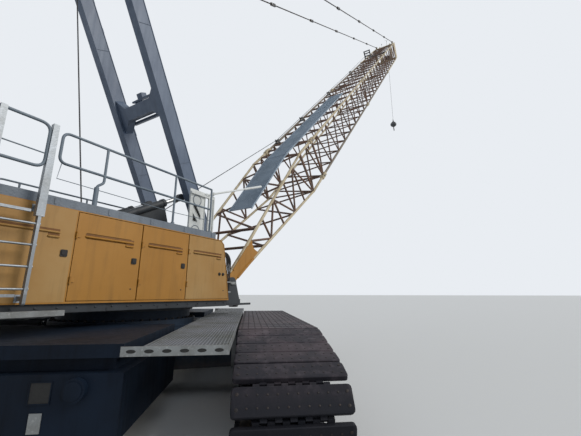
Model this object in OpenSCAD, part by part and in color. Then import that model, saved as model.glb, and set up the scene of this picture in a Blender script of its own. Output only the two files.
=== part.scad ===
// Crawler crane with a lattice boom, in millimetres.
// +X runs forward along the boom, +Z up, and the origin lies on the ground under the slewing axis.

/* [Crawlers] */
// Angle of the crawlers to the superstructure, as parked
slew_at_rest = 37.3; // [0:0.1:60]
// Distance between the centre lines of the two crawlers
gauge = 6200; // [5900:50:6600]
// Length of a crawler over its shoes
crawler_length = 8900; // [8700:50:9200]
// Height of a crawler over its shoes
crawler_height = 1250; // [1230:10:1290]
// Radius of a crawler's end over its shoes
end_radius = 500; // [480:10:520]
// Length of the level upper run
top_run = 5500; // [5200:50:5800]
// Width of a shoe
shoe_width = 1200; // [1100:50:1300]
// Thickness of a shoe plate
shoe_thick = 60; // [50:5:70]
// Wanted pitch of the shoes
shoe_pitch = 295; // [270:5:330]
// Gap between two shoes on a straight run
shoe_gap = 18; // [12:2:30]
// Width of the link band behind the shoes
link_width = 500; // [440:10:540]
// Depth of the link band behind the pitch line
link_depth = 70; // [60:5:80]
// Thickness of a crawler frame's side plate
side_plate = 40; // [30:5:50]
// Radius of a bottom roller
roller_radius = 150; // [130:5:160]
// Radius of a carrier roller
carrier_radius = 100; // [80:5:110]
// Radius of a roller axle
axle_radius = 35; // [25:5:45]

/* [Carbody] */
// Half width of the carbody
carbody_half = 1350; // [1250:10:1450]
// Underside of the carbody
carbody_bottom = 430; // [400:10:500]
// Top of the carbody, of its counterweights and of the walkways
deck_height = 1250; // [1240:5:1270]
// Half width of the carbody counterweights
ballast_half = 1410; // [1350:10:1450]
// End of a carbody counterweight, from the slewing axis
ballast_end = 4150; // [4000:10:4300]
// Width of a crawler walkway
walkway_width = 820; // [700:10:850]
// Outer radius of the slewing ring
ring_radius = 1300; // [1200:10:1320]

/* [Superstructure] */
// Underside of the revolving platform
platform_bottom = 1420; // [1400:5:1440]
// Underside of the machinery housings
housing_bottom = 1620; // [1600:5:1650]
// Height of the machinery housings
housing_height = 1330; // [1250:10:1400]
// Half width over the housings
housing_half = 1750; // [1720:5:1780]
// Width of one housing
housing_width = 700; // [640:5:700]
// Rear end of the housings
housing_rear = -3400; // [-3450:10:-3300]
// Front end of the housings, at their foot
housing_front = 1290; // [1250:5:1320]
// Thickness of a housing wall and of a door
wall = 45; // [35:5:60]
// Gap round a door
door_gap = 10; // [8:1:14]
// Height of the handrails over the roof
rail_height = 1150; // [1000:10:1200]
// Radius of a handrail tube
rail_radius = 21; // [18:1:25]
// Height of the toe boards round the roof
toe_board = 140; // [100:5:160]
// Distance between the rungs of the ladder
rung_step = 275; // [260:5:300]
// Rear end of the counterweight
tail = -5500; // [-5700:10:-5400]
// Thickness of one counterweight slab
slab_thick = 300; // [260:10:340]
// Number of slabs in a stack
slab_count = 6; // [3:1:7]

/* [Cab] */
// Length of the cab
cab_length = 1950; // [1850:10:2000]
// Width of the cab
cab_width = 1050; // [1000:10:1100]
// Height of the cab
cab_height = 2150; // [2050:10:2200]
// Thickness of a cab wall
cab_wall = 50; // [40:5:60]

/* [A-frame] */
// Angle of the A-frame over the horizontal, as parked
a_frame_angle = 62.7; // [58:0.1:66]
// Length of the A-frame from foot pin to head pin
a_frame_length = 9600; // [9200:50:9900]
// Distance of a leg's middle plane from the middle of the crane
leg_offset = 815; // [800:5:830]
// Thickness of a leg
leg_thick = 180; // [160:5:190]
// Depth of a leg
leg_depth = 340; // [300:10:380]
// Place of the cross beam along the legs
cross_beam_at = 4730; // [4400:10:5000]

/* [Boom] */
// Angle of the boom over the horizontal, as parked
boom_angle = 45.1; // [40:0.1:50]
// Length of the boom's foot section
foot_length = 8000; // [7500:50:8500]
// Length of one insert of the boom
insert_length = 12000; // [11500:50:12500]
// Length of the boom's head section
head_length = 10000; // [9500:50:10500]
// Distance between the chords' centre lines across the boom
boom_width = 2300; // [2280:10:2320]
// Distance between the chords' centre lines in the boom's depth
boom_depth = 1740; // [1650:10:1850]
// Radius of a chord tube
chord_radius = 57; // [50:1:66]
// Width of a lacing bar
lacing = 70; // [50:5:80]
// Radius of the foot pins
foot_pin_radius = 60; // [50:5:70]
// Radius of a stay bar
stay_radius = 30; // [24:1:36]
// Length of hoist rope under the boom head
hook_drop = 9000; // [6000:100:11000]
// Radius of the hook ball
ball_radius = 350; // [250:10:400]

/* [Hidden] */

// Side of the crane that a piece stands on: +1 is left, -1 is right
LEFT = 1;
RIGHT = -1;
// Play of a turning fit, and of a seat
play = 0.3;

// Places that several pieces share
pitch_depth = 110;                           // shoe face to pitch line
pivot = [1916, 0, 2016];                     // foot pins of the boom and of the A-frame
housing_top = housing_bottom + housing_height;
housing_inner = housing_half - housing_width;
door_edges = [-2140, -1060, 0, housing_front]; // seams between the doors
cab_rear = housing_front + 200;
cab_inner = 1560;
cab_floor = 1560;
roof_deck = 30;

color_yellow = "#d29a2c";
color_frame = "#3c4248";
color_steel = "#5b4a48";
color_navy = "#27323c";
color_zinc = "#b9bcbb";
color_slate = "#59636b";
color_cream = "#cdbb93";

// Crawler path: level run, slope, end arc, ground run, and the same mirrored
end_x = crawler_length / 2 - end_radius;
path_r = end_radius - pitch_depth;
top_z = crawler_height - pitch_depth;
corner = [top_run / 2, top_z];
to_corner = corner - [end_x, end_radius];
leave_angle = atan2(to_corner[1], to_corner[0]) - acos(path_r / norm(to_corner));
leave = [end_x, end_radius] + path_r * [cos(leave_angle), sin(leave_angle)];
slope_len = norm(leave - corner);
arc_len = path_r * (leave_angle + 90) * PI / 180;
path_len = top_run + 2 * slope_len + 2 * arc_len + 2 * end_x;
shoe_count = round(path_len / shoe_pitch);
pitch = path_len / shoe_count;

// Point of the pitch line at a distance s from the rear end of the level run
function path_point(s) =
    s < top_run ? [s - top_run / 2, top_z]
    : s < top_run + slope_len ? corner + (leave - corner) * (s - top_run) / slope_len
    : s < top_run + slope_len + arc_len
        ? let (a = leave_angle - (s - top_run - slope_len) / path_r * 180 / PI)
            [end_x, end_radius] + path_r * [cos(a), sin(a)]
    : s < top_run + slope_len + arc_len + 2 * end_x
        ? [end_x - (s - top_run - slope_len - arc_len), pitch_depth]
    : let (p = path_point(path_len + top_run - s)) [-p[0], p[1]];
joints = [for (k = [0 : shoe_count]) path_point(k == shoe_count ? 0 : k * pitch)];
function unit(v) = v / norm(v);
function along(k) = unit(joints[(k + 1) % shoe_count] - joints[k]);
function outward(k) = let (t = along(k)) [-t[1], t[0]];
function outward_at(k) = unit(outward(k) + outward((k + shoe_count - 1) % shoe_count));
// Loop of joints moved outward by d
function loop_at(d) = [for (k = [0 : shoe_count - 1]) joints[k] + d * outward_at(k)];
// Outline of the shoes: four corners for each
function shoe_outline() = [for (k = [0 : shoe_count - 1])
    let (t = along(k), n = outward(k), p = joints[k], q = joints[(k + 1) % shoe_count],
        g = shoe_gap / 2, low = pitch_depth - shoe_thick)
    each [p + t * g + n * low, p + t * g + n * pitch_depth,
        q - t * g + n * pitch_depth, q - t * g + n * low]];

// Stands a drawing of the XZ plane up and gives it a thickness along Y
module upright(thick) {
    rotate([90, 0, 0]) linear_extrude(height = thick, center = true) children();
}
// Cylinder along Y, centred
module across(r, len) {
    rotate([90, 0, 0]) cylinder(r = r, h = len, center = true, $fn = 48);
}
// Tube from p to q
module bar(p, q, r, sides = 16) {
    d = q - p;
    translate(p) rotate([0, acos(d[2] / norm(d)), atan2(d[1], d[0])])
        cylinder(r = r, h = norm(d), $fn = sides);
}
module block(low, high) {
    translate(low) cube(high - low);
}
// Moves pieces of the undercarriage from the crawlers' own direction to the parked one
module parked() {
    rotate([0, 0, slew_at_rest]) children();
}
module on_crawler(side) {
    parked() translate([0, side * gauge / 2, 0]) children();
}

// Track: shoe plates over a narrower band of links, as one loop
module track(side) {
    color(color_steel) on_crawler(side) union() {
        upright(shoe_width) difference() {
            polygon(shoe_outline());
            polygon(loop_at(pitch_depth - shoe_thick - 10));
        }
        upright(link_width) difference() {
            polygon(loop_at(pitch_depth - shoe_thick));
            polygon(loop_at(-link_depth));
        }
    }
}

// Rollers under the frame: places, height and radius
roller_z = pitch_depth + link_depth + roller_radius + play;
roller_places = [for (k = [-5 : 5]) k * end_x / 6.2];
carrier_z = top_z - link_depth - carrier_radius - play;
carrier_places = [-0.38, 0, 0.38] * top_run;
frame_gap = link_width + 20;
module track_rollers(side) {
    color(color_frame) on_crawler(side) {
        for (x = roller_places) translate([x, 0, roller_z]) union() {
            across(roller_radius, link_width - 140);
            across(roller_radius * 0.6, frame_gap - 2 * play);
            across(axle_radius, frame_gap + 2 * side_plate + 30);
        }
        for (x = carrier_places) translate([x, 0, carrier_z]) union() {
            across(carrier_radius, link_width - 140);
            across(axle_radius, frame_gap + 2 * side_plate + 30);
        }
    }
}

// Crawler frame: two side plates with a box beam between them
frame_top = carrier_z - 30;
beam_bottom = roller_z + roller_radius + 40;
beam_top = carrier_z - carrier_radius - 20;
beam_end = end_x - path_r - 60;
module side_plate_outline() {
    difference() {
        union() {
            polygon([[-end_x, end_radius - 190], [-end_x + 400, roller_z - 70], [end_x - 400, roller_z - 70],
                [end_x, end_radius - 190], [end_x, end_radius + 190], [top_run / 2, frame_top],
                [-top_run / 2, frame_top], [-end_x, end_radius + 190]]);
            for (s = [-1, 1]) translate([s * end_x, end_radius]) circle(r = 190, $fn = 48);
            for (x = carrier_places) translate([x, carrier_z]) circle(r = axle_radius + 30, $fn = 32);
        }
        for (x = roller_places) translate([x, roller_z]) circle(r = axle_radius + play, $fn = 32);
        for (x = carrier_places) translate([x, carrier_z]) circle(r = axle_radius + play, $fn = 32);
        for (s = [-1, 1]) translate([s * end_x, end_radius]) circle(r = hub_radius + play, $fn = 48);
    }
}
hub_radius = 90;
module crawler_frame(side) {
    color(color_navy) on_crawler(side) union() {
        for (s = [-1, 1]) translate([0, s * (frame_gap + side_plate) / 2, 0])
            upright(side_plate) side_plate_outline();
        block([-beam_end, -frame_gap / 2 - 1, beam_bottom], [beam_end, frame_gap / 2 + 1, beam_top]);
    }
}

wheel_radius = sqrt(pow(path_r, 2) - pow(pitch / 2, 2)) - link_depth - play;
module end_wheel(teeth) {
    translate([0, 0, end_radius]) union() {
        across(wheel_radius - teeth, link_width - 100);
        if (teeth > 0) for (k = [0 : 11]) rotate([0, k * 30, 0])
            translate([wheel_radius - teeth - 15, -link_width / 2 + 80, -35])
                cube([teeth + 10, link_width - 160, 70]);
        across(hub_radius, frame_gap + 2 * side_plate + 60);
    }
}
module drive_sprockets() {
    color(color_frame) for (side = [LEFT, RIGHT]) on_crawler(side) translate([-end_x, 0, 0]) union() {
        end_wheel(30);
        translate([0, -side * (frame_gap / 2 + side_plate + 30 + 90), end_radius]) across(200, 180);
    }
}
module idler_wheels() {
    color(color_frame) for (side = [LEFT, RIGHT]) on_crawler(side) translate([end_x, 0, 0])
        end_wheel(0);
}

// Carbody: a box with two cross beams, the ring seat and the lower half of the slewing ring
beam_x = 1050;
beam_wide = 620;
module carbody() {
    reach = gauge / 2 - frame_gap / 2 - side_plate - play;
    color(color_navy) parked() difference() {
        union() {
            block([-carbody_half - 500, -carbody_half, carbody_bottom], [carbody_half + 500, carbody_half, 1120]);
            for (s = [-1, 1]) translate([s * beam_x, 0, 0]) rotate([0, 0, 90]) upright(beam_wide)
                polygon([[-reach, 480], [-carbody_half, carbody_bottom], [carbody_half, carbody_bottom],
                    [reach, 480], [reach, 860], [carbody_half, 1120], [-carbody_half, 1120], [-reach, 860]]);
            cylinder(r = ring_radius + 120, h = deck_height, $fn = 96);
            cylinder(r = ring_radius, h = platform_bottom - play, $fn = 96);
        }
        translate([0, 0, -1]) cylinder(r = ring_radius - 300, h = 3000, $fn = 96);
        translate([0, 0, -1]) cylinder(r = ring_radius + 200, h = carbody_bottom + 1, $fn = 96);
    }
}

// Carbody counterweight: a block under a recess and a wide shelf
module carbody_counterweight(end) {
    inner = carbody_half + 500 + play;
    color(color_navy) parked() mirror([end < 0 ? 1 : 0, 0, 0]) union() {
        block([inner, -ballast_half - 40, 380], [ballast_end, ballast_half + 40, 990]);
        block([inner, -ballast_half + 100, 980], [ballast_end - 160, ballast_half - 100, 1130]);
        block([inner, -ballast_half, 1120], [ballast_end - 40, ballast_half, deck_height]);
        for (s = [-1, 1]) translate([ballast_end, s * 1030, 850]) rotate([0, 90, 0])
            cylinder(r = 110, h = 70, $fn = 48);
    }
}

// Walkways: gratings beside the crawlers, on brackets from the frames
walk_half = ballast_end + 150;
walk_cells = 21;                              // openings under one grating
walk_cell = 2 * walk_half / walk_cells;
module crawler_walkways() {
    outer = gauge / 2 - shoe_width / 2 - 30;
    plate = gauge / 2 - frame_gap / 2 - side_plate - play;
    color(color_zinc) parked() for (s = [-1, 1]) mirror([0, s < 0 ? 1 : 0, 0]) union() {
        difference() {
            block([-walk_half, outer - walkway_width, deck_height - 70], [walk_half, outer, deck_height]);
            for (k = [0 : walk_cells - 1]) block([-walk_half + 25 + k * walk_cell, outer - walkway_width + 50, deck_height - 80],
                [-walk_half - 25 + (k + 1) * walk_cell, outer - 50, deck_height - 30]);
        }
        for (x = [-0.6, 0, 0.6] * walk_half) {
            block([x - 40, outer - walkway_width + 80, deck_height - 190], [x + 40, outer, deck_height - 60]);
            block([x - 40, outer - 60, 700], [x + 40, outer, deck_height - 60]);
            block([x - 40, outer - 60, 700], [x + 40, plate, 780]);
        }
    }
}

// Revolving platform: floor, two girders, the cheeks round the foot pins, winch cheeks
foot_boss = 200;                              // width of the boom's foot bosses
// Cheeks on each side: inner face, thickness
cheek_rows = [[leg_offset - leg_thick / 2 - 70, 60], [leg_offset + leg_thick / 2 + 10, 125],
    [boom_width / 2 + foot_boss / 2 + 10, 60]];
floor_top = housing_bottom - play;
floor_bottom = platform_bottom + 60;
tail_half = 1000;                             // half width of the platform's tail
tail_end = tail + 500;
nose_half = 1330;                             // half width of its nose, and its end
nose_end = pivot[0] + 320;
drum_places = [[700, 2330], [-600, 2330], [-1900, 2330]]; // x and z of the drum shafts
drum_shaft = 60;
drum_half = 520;
module cheek_outline() {
    polygon([[pivot[0] - 560, floor_top - 20], [pivot[0] + 300, floor_top - 20],
        [pivot[0] + 150, pivot[2]], [pivot[0] - 150, pivot[2]]]);
    translate([pivot[0], pivot[2]]) circle(r = 150, $fn = 48);
}
module slewing_platform() {
    color(color_frame) union() {
        difference() {
            union() {
                block([housing_rear, -housing_half + 40, floor_bottom], [housing_front - 30, housing_half - 40, floor_top]);
                block([tail_end, -tail_half, floor_bottom], [nose_end, tail_half, floor_top]);
                block([housing_front - 40, -nose_half, floor_bottom], [nose_end, nose_half, floor_top]);
                translate([0, 0, platform_bottom]) cylinder(r = ring_radius + 60, h = 100, $fn = 96);
            }
            translate([0, 0, platform_bottom - 1]) cylinder(r = 450, h = 400, $fn = 96);
        }
        for (s = [-1, 1]) {
            for (row = cheek_rows) translate([0, s * (row[0] + row[1] / 2), 0])
                upright(row[1]) cheek_outline();
            block([tail_end, s * 800 - 150, floor_top - 5], [-2400, s * 800 + 150, 2150]);
            translate([pivot[0], s * (cheek_rows[0][0] + cheek_rows[2][0] + 60) / 2, pivot[2]])
                across(foot_pin_radius, cheek_rows[2][0] + 100 - cheek_rows[0][0]);
            for (place = drum_places) translate([0, s * (drum_half + 50), 0]) upright(40) difference() {
                union() {
                    polygon([[place[0] - 300, floor_top - 5], [place[0] + 300, floor_top - 5],
                        [place[0] + 110, place[1]], [place[0] - 110, place[1]]]);
                    translate(place) circle(r = 110, $fn = 48);
                }
                translate(place) circle(r = drum_shaft + play, $fn = 48);
            }
        }
    }
}

// Housing: a shell with one long opening, posts behind the seams of the doors and hinge pins in the seams
hinge_out = 16;                               // hinge axis outside the housing's face, and forward of the seam
hinge_on = 12;
hinge_heights = [housing_bottom + 260, housing_top - 420];
door_thick = wall - 10;
door_frame = 16;                              // what the housing shows above, below and before the doors
housing_outline = [[housing_rear, housing_bottom], [housing_front, housing_bottom],
    [housing_front - 230, housing_top - 90], [housing_front - 340, housing_top], [housing_rear, housing_top]];
module door_outline(k, gap) {
    intersection() {
        polygon([[door_edges[k] + gap, housing_bottom], [door_edges[k + 1] - gap, housing_bottom],
            [door_edges[k + 1] - gap, housing_top], [door_edges[k] + gap, housing_top]]);
        offset(delta = -door_frame - gap) polygon(housing_outline);
    }
}
module housing(side) {
    color(color_yellow) mirror([0, side < 0 ? 1 : 0, 0]) difference() {
        translate([0, housing_half - housing_width / 2, 0]) upright(housing_width) polygon(housing_outline);
        translate([0, housing_half - housing_width / 2, 0]) upright(housing_width - 2 * wall)
            offset(delta = -wall) polygon(housing_outline);
        for (k = [0 : 2]) translate([0, housing_half - wall / 2, 0]) upright(wall + 2) door_outline(k, 0);
    }
}
module housing_frame(side) {
    color(color_yellow) mirror([0, side < 0 ? 1 : 0, 0]) for (k = [0 : 2]) {
        if (k > 0) block([door_edges[k] - 25, housing_half - wall - 40, housing_bottom + 20],
            [door_edges[k] + 25, housing_half - wall, housing_top - 20]);
        for (z = hinge_heights) translate([door_edges[k], housing_half, z]) {
            for (low = [0, 82]) {
                block([-3, -wall - 1, low], [3, 10, low + 20]);
                block([-3, 3, low], [hinge_on, 12, low + 20]);
                translate([hinge_on, hinge_out, low]) cylinder(r = 14, h = 20, $fn = 24);
            }
            translate([hinge_on, hinge_out, 1]) cylinder(r = 8, h = 100, $fn = 24);
        }
    }
}
// Door: a panel in its opening, with two louvre slits near its top
module door(side, k) {
    from = door_edges[k] + 150;
    to = door_edges[k + 1] - (k == 2 ? 310 : 200);
    color(color_yellow) mirror([0, side < 0 ? 1 : 0, 0]) difference() {
        union() {
            translate([0, housing_half - door_thick / 2, 0]) upright(door_thick) door_outline(k, door_gap);
            for (z = hinge_heights) translate([door_edges[k], housing_half, z + 20 + play]) {
                block([hinge_on, -1, 0], [hinge_on + 60, 12, 58]);
                translate([hinge_on, hinge_out, 0]) cylinder(r = 14, h = 58, $fn = 24);
            }
        }
        for (z = hinge_heights) translate([door_edges[k] + hinge_on, housing_half + hinge_out, z])
            cylinder(r = 8 + play, h = 100, $fn = 24);
        for (z = [housing_top - 330, housing_top - 390])
            block([from, housing_half - 18, z - 14], [to, housing_half + 1, z + 14]);
    }
}

module engine_block() {
    color(color_frame) block([-3100, -housing_half + 120, housing_bottom + wall + play],
        [-1700, -housing_inner - 90, housing_bottom + 900]);
}

// Roof decks with toe boards along their outer edges
module roof_decks() {
    color(color_slate) for (s = [-1, 1]) mirror([0, s < 0 ? 1 : 0, 0]) union() {
        block([housing_rear + 60, housing_inner + 40, housing_top], [housing_front - 500, housing_half - 30, housing_top + roof_deck]);
        block([housing_rear + 60, housing_half - 42, housing_top + 1], [housing_front - 500, housing_half - 30, housing_top + toe_board]);
    }
}

// Handrails: closed loops of tube on posts, feet in sockets
rail_x = [-2550, -1850, -430, 640];            // rear end, and the three posts
module handrails(side) {
    y = side * (housing_half - 90);
    low = housing_top + roof_deck + play;
    top = housing_top + rail_height;
    mid = housing_top + rail_height - 480;
    color(color_slate) union() {
        for (z = [mid, top]) bar([rail_x[0], y, z], [rail_x[3], y, z], rail_radius);
        bar([rail_x[0], y, mid], [rail_x[0], y, top], rail_radius);
        for (x = [rail_x[0], rail_x[3]]) for (z = [mid, top]) translate([x, y, z]) sphere(r = rail_radius, $fn = 24);
        for (k = [1 : 3]) {
            bar([rail_x[k], y, low], [rail_x[k], y, top], rail_radius);
            translate([rail_x[k], y, low]) cylinder(r = rail_radius + 14, h = 150, $fn = 24);
        }
    }
}

// Ladder: two flat stiles and round rungs, carried off the housing by four brackets
ladder_x = [-3140, -2700];
module ladder() {
    y = -housing_half - 180;
    top = housing_top + rail_height - 60;
    guard = [ladder_x[0] - 380, ladder_x[1] - 30];  // rear and front of the guard loop
    color(color_zinc) union() {
        for (z = [top - 660, top - 440, top - 30]) bar([guard[0], y, z], [guard[1], y, z], z == top - 440 ? 9 : rail_radius);
        bar([guard[0], y, top - 660], [guard[0], y, top - 30], rail_radius);
        for (z = [top - 660, top - 30]) translate([guard[0], y, z]) sphere(r = rail_radius, $fn = 24);
        block([ladder_x[0] - 20, y - 25, housing_bottom - 160], [ladder_x[1] + 480, y + 45, housing_bottom - 90]);
        for (x = ladder_x) block([x - 12, y - 35, housing_bottom - 120], [x + 12, y + 35, top]);
        for (z = [housing_bottom + 175 : rung_step : housing_top]) bar([ladder_x[0], y, z], [ladder_x[1], y, z], 15);
        for (x = ladder_x) for (z = [housing_bottom + 30, housing_top - 120])
            block([x - 10, y, z], [x + 10, -housing_half - play, z + 60]);
    }
}

// Folded access platform on the front of the right housing
module folded_platform() {
    x0 = 300;
    y = -housing_half + 420;
    low = housing_top + roof_deck + play;
    color(color_zinc) union() {
        difference() {
            block([x0, y - 12, low], [x0 + 460, y + 12, low + 1120]);
            for (z = [160, 960]) translate([x0 + 230, y, low + z]) across(70, 40);
            translate([x0, y, low]) upright(40) union() {
                polygon([[110, 790], [170, 790], [350, 540], [350, 430], [110, 700]]);
                polygon([[110, 570], [110, 370], [270, 370]]);
            }
        }
        for (dx = [560, 640, 720]) block([x0 + dx - 15, y - 60, low], [x0 + dx + 15, y - 20, low + 1080]);
        for (z = [30, 1000]) block([x0, y - 60, low + z], [x0 + 735, y - 11, low + z + 50]);
    }
}

// Cylinders that put the A-frame up when the crane is set up
cylinder_y = leg_offset - 215;
cylinder_foot = [housing_rear + 850, 0, floor_top + 710];
cylinder_eye = pivot + 2412 * [-cos(a_frame_angle), 0, sin(a_frame_angle)]
    - (leg_depth / 2 + 20) * [sin(a_frame_angle), 0, cos(a_frame_angle)];
cylinder_run = cylinder_eye - cylinder_foot;
module erecting_cylinders() {
    color(color_frame) for (s = [-1, 1]) translate([0, s * cylinder_y, 0]) union() {
        bar(cylinder_foot, cylinder_foot + 0.86 * cylinder_run, 85, 32);
        bar(cylinder_foot + 0.83 * cylinder_run, cylinder_eye, 50, 32);
        translate(cylinder_foot) across(110, 120);
        translate(cylinder_eye) across(90, 110);
        block([cylinder_foot[0] - 110, -50, floor_top + play], [cylinder_foot[0] + 110, 50, cylinder_foot[2] - 30]);
    }
}

// Cab: a shell with its windows cut, one side open for the sliding door
cab_top = cab_floor + cab_height;
cab_front = cab_rear + cab_length;
cab_outline = [[cab_rear, cab_floor], [cab_front - 150, cab_floor], [cab_front, cab_floor + 550],
    [cab_front - 60, cab_floor + 1500], [cab_front - 330, cab_top], [cab_rear + 60, cab_top], [cab_rear, cab_top - 120]];
side_window = [[cab_rear + 130, cab_floor + 900], [cab_front - 950, cab_floor + 900],
    [cab_front - 950, cab_top - 200], [cab_rear + 130, cab_top - 200]];
front_window = [[cab_front - 860, cab_floor + 900], [cab_front - 130, cab_floor + 900],
    [cab_front - 160, cab_floor + 1480], [cab_front - 370, cab_top - 200], [cab_front - 860, cab_top - 200]];
door_from = cab_front - 1000;
door_to = cab_front - 200;
module cab() {
    mid = cab_inner + cab_width / 2;
    color(color_yellow) difference() {
        union() {
            difference() {
                translate([0, mid, 0]) upright(cab_width) polygon(cab_outline);
                translate([0, mid, 0]) upright(cab_width - 2 * cab_wall) offset(delta = -cab_wall) polygon(cab_outline);
            }
            block([cab_rear + 100, cab_inner - 200, cab_floor - 120], [cab_front - 300, cab_inner + cab_width, cab_floor + 5]);
            for (z = [cab_floor + 10 - play, cab_top - 90 + play])
                block([cab_rear + 130, cab_inner + cab_width - 1, z], [door_to + 30, cab_inner + cab_width + 62, z + 40]);
            block([cab_rear + 100, nose_half + play, floor_bottom], [nose_end - 60, cab_inner + 400, cab_floor - 20]);
        }
        translate([0, cab_inner, 0]) upright(4 * cab_wall) polygon(side_window);
        translate([0, cab_inner, 0]) upright(4 * cab_wall) polygon(front_window);
        translate([0, cab_inner + cab_width, 0]) upright(4 * cab_wall) polygon(side_window);
        translate([0, cab_inner + cab_width, 0]) upright(4 * cab_wall)
            polygon([[door_from, cab_floor + 80], [door_to, cab_floor + 80], [door_to, cab_floor + 1350],
                [door_to - 150, cab_top - 120], [door_from, cab_top - 120]]);
        block([cab_front - 400, cab_inner + 110, cab_floor + 600], [cab_front + 50, cab_inner + cab_width - 110, cab_top - 260]);
        block([cab_rear - 50, cab_inner + 130, cab_floor + 1000], [cab_rear + 100, cab_inner + cab_width - 130, cab_top - 250]);
    }
}
module cab_glass() {
    color("#9fb4bd") {
        for (y = [cab_inner + 15, cab_inner + cab_width - 15]) translate([0, y, 0]) upright(8) polygon(side_window);
        translate([0, cab_inner + 15, 0]) upright(8) polygon(front_window);
        block([cab_rear + 12, cab_inner + 130, cab_floor + 1000], [cab_rear + 20, cab_inner + cab_width - 130, cab_top - 250]);
        translate([0, cab_inner + cab_width / 2, 0]) upright(cab_width - 220)
            polygon([[cab_front - 6, cab_floor + 600], [cab_front - 14, cab_floor + 600],
                [cab_front - 73, cab_floor + 1500], [cab_front - 236, cab_top - 260], [cab_front - 226, cab_top - 260],
                [cab_front - 64, cab_floor + 1500]]);
    }
}
module cab_seat() {
    x = cab_rear + 500;
    y = cab_inner + cab_width / 2;
    color("#2b2b2d") union() {
        block([x, y - 130, cab_floor + cab_wall], [x + 350, y + 130, cab_floor + 430]);
        block([x - 60, y - 260, cab_floor + 420], [x + 460, y + 260, cab_floor + 540]);
        translate([x - 60, y, cab_floor + 500]) rotate([0, -8, 0]) block([-60, -240, 0], [60, 240, 700]);
        for (s = [-1, 1]) block([x + 60, y + s * 330 - 50, cab_floor + cab_wall], [x + 480, y + s * 330 + 50, cab_floor + 680]);
    }
}
// Sliding door: a frame with its glass opening, outside the cab's left side
module cab_door() {
    y = cab_inner + cab_width + 35;
    color(color_yellow) translate([0, y, 0]) difference() {
        upright(40) polygon([[door_from - 40, cab_floor + 50], [door_to + 30, cab_floor + 50], [door_to + 30, cab_floor + 1370],
            [door_to - 130, cab_top - 90], [door_from - 40, cab_top - 90]]);
        upright(60) polygon([[door_from + 60, cab_floor + 780], [door_to - 60, cab_floor + 780],
            [door_to - 60, cab_floor + 1340], [door_to - 190, cab_top - 180], [door_from + 60, cab_top - 180]]);
    }
}

// Counterweight: a tray hooked to the tail and two stacks of slabs with pin sockets
tray_half = 2400;
tray_bottom = 1480;
tray_thick = 320;
module counterweight_tray() {
    color(color_navy) difference() {
        block([tail, -tray_half, tray_bottom], [housing_rear - 150, tray_half, tray_bottom + tray_thick]);
        block([tail_end - play, -tail_half - play, tray_bottom - 10],
            [housing_rear, tail_half + play, tray_bottom + tray_thick + 10]);
    }
}
slab_inner = 1060;
module counterweight_slabs() {
    color(color_slate) for (s = [-1, 1]) mirror([0, s < 0 ? 1 : 0, 0])
        for (k = [0 : slab_count - 1]) {
            z = tray_bottom + tray_thick + play + k * (slab_thick + play);
            difference() {
                block([tail + 20, slab_inner, z], [housing_rear - 170, tray_half, z + slab_thick]);
                for (x = [tail + 20, housing_rear - 170]) translate([x, (slab_inner + tray_half) / 2, z + slab_thick / 2])
                    cube([120, 260, slab_thick * 0.5], center = true);
            }
        }
}

// Winch drum: barrel between two flanges on a shaft
module drum(k) {
    color(color_slate) translate([drum_places[k][0], 0, drum_places[k][1]]) union() {
        across(230, 2 * drum_half - 40);
        for (s = [-1, 1]) translate([0, s * (drum_half - 30), 0]) across(380, 40);
        across(drum_shaft, 2 * drum_half + 140);
    }
}

// Places along a leg: u runs up the leg, w square to it, forward
module on_a_frame() {
    translate(pivot) rotate([0, -(180 - a_frame_angle), 0]) children();
}
sheave_radius = 300;
module a_frame() {
    color(color_slate) on_a_frame() difference() {
        union() {
            for (s = [-1, 1]) translate([0, s * leg_offset, 0]) {
                upright(leg_thick) union() {
                    circle(r = leg_depth / 2 - 20, $fn = 48);
                    polygon([[0, -140], [700, -leg_depth / 2], [a_frame_length - 500, -leg_depth / 2],
                        [a_frame_length, -150], [a_frame_length, 150], [a_frame_length - 500, leg_depth / 2],
                        [700, leg_depth / 2], [0, 140]]);
                    translate([a_frame_length, 0]) circle(r = 190, $fn = 48);
                }
            }
            for (at = [cross_beam_at, a_frame_length - 900]) {
                block([at - 150, -leg_offset, -110], [at + 150, leg_offset, 110]);
                for (s = [-1, 1]) mirror([0, s < 0 ? 1 : 0, 0]) translate([at, leg_offset - leg_thick / 2, 0])
                    linear_extrude(height = 220, center = true) polygon([[-420, 5], [-150, -260], [150, -260], [420, 5]]);
            }
            translate([a_frame_length, 0, 0]) across(foot_pin_radius, 2 * stay_offset + 100);
        }
        for (s = [-1, 1]) translate([0, s * leg_offset, 0]) across(foot_pin_radius + play, leg_thick + 20);
    }
}
module a_frame_sheaves() {
    color(color_frame) on_a_frame() translate([a_frame_length, 0, 0]) difference() {
        union() {
            for (k = [-3 : 3]) translate([0, k * 150, 0]) across(sheave_radius, 60);
            across(130, 1060);
        }
        across(foot_pin_radius + play, 2000);
    }
}

// Lattice: windows between zigzag bars in a strip of height h, cut in n half pitches of length a
module lattice_windows(length, n, h) {
    a = length / n;
    t = atan2(h, a);
    m = chord_radius * 0.7;
    half = lacing / 2;
    base = a * (1 - m / h) - half / sin(t);
    tip = h - half / cos(t);
    for (k = [1 : n - 1]) translate([k * a, 0])
        polygon(k % 2 == 1 ? [[-base, m], [base, m], [0, tip]] : [[-base, h - m], [0, h - tip], [base, h - m]]);
    for (s = [0, 1]) translate([s * length, 0]) mirror([s, 0]) polygon([[lacing, h - m],
        [lacing, h / a * lacing + half / cos(t)], [(h - m - half / cos(t)) * a / h, h - m]]);
}
module lattice_strip(length, n, h) {
    translate([0, -h / 2]) difference() {
        square([length, h]);
        lattice_windows(length, n, h);
    }
}
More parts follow.
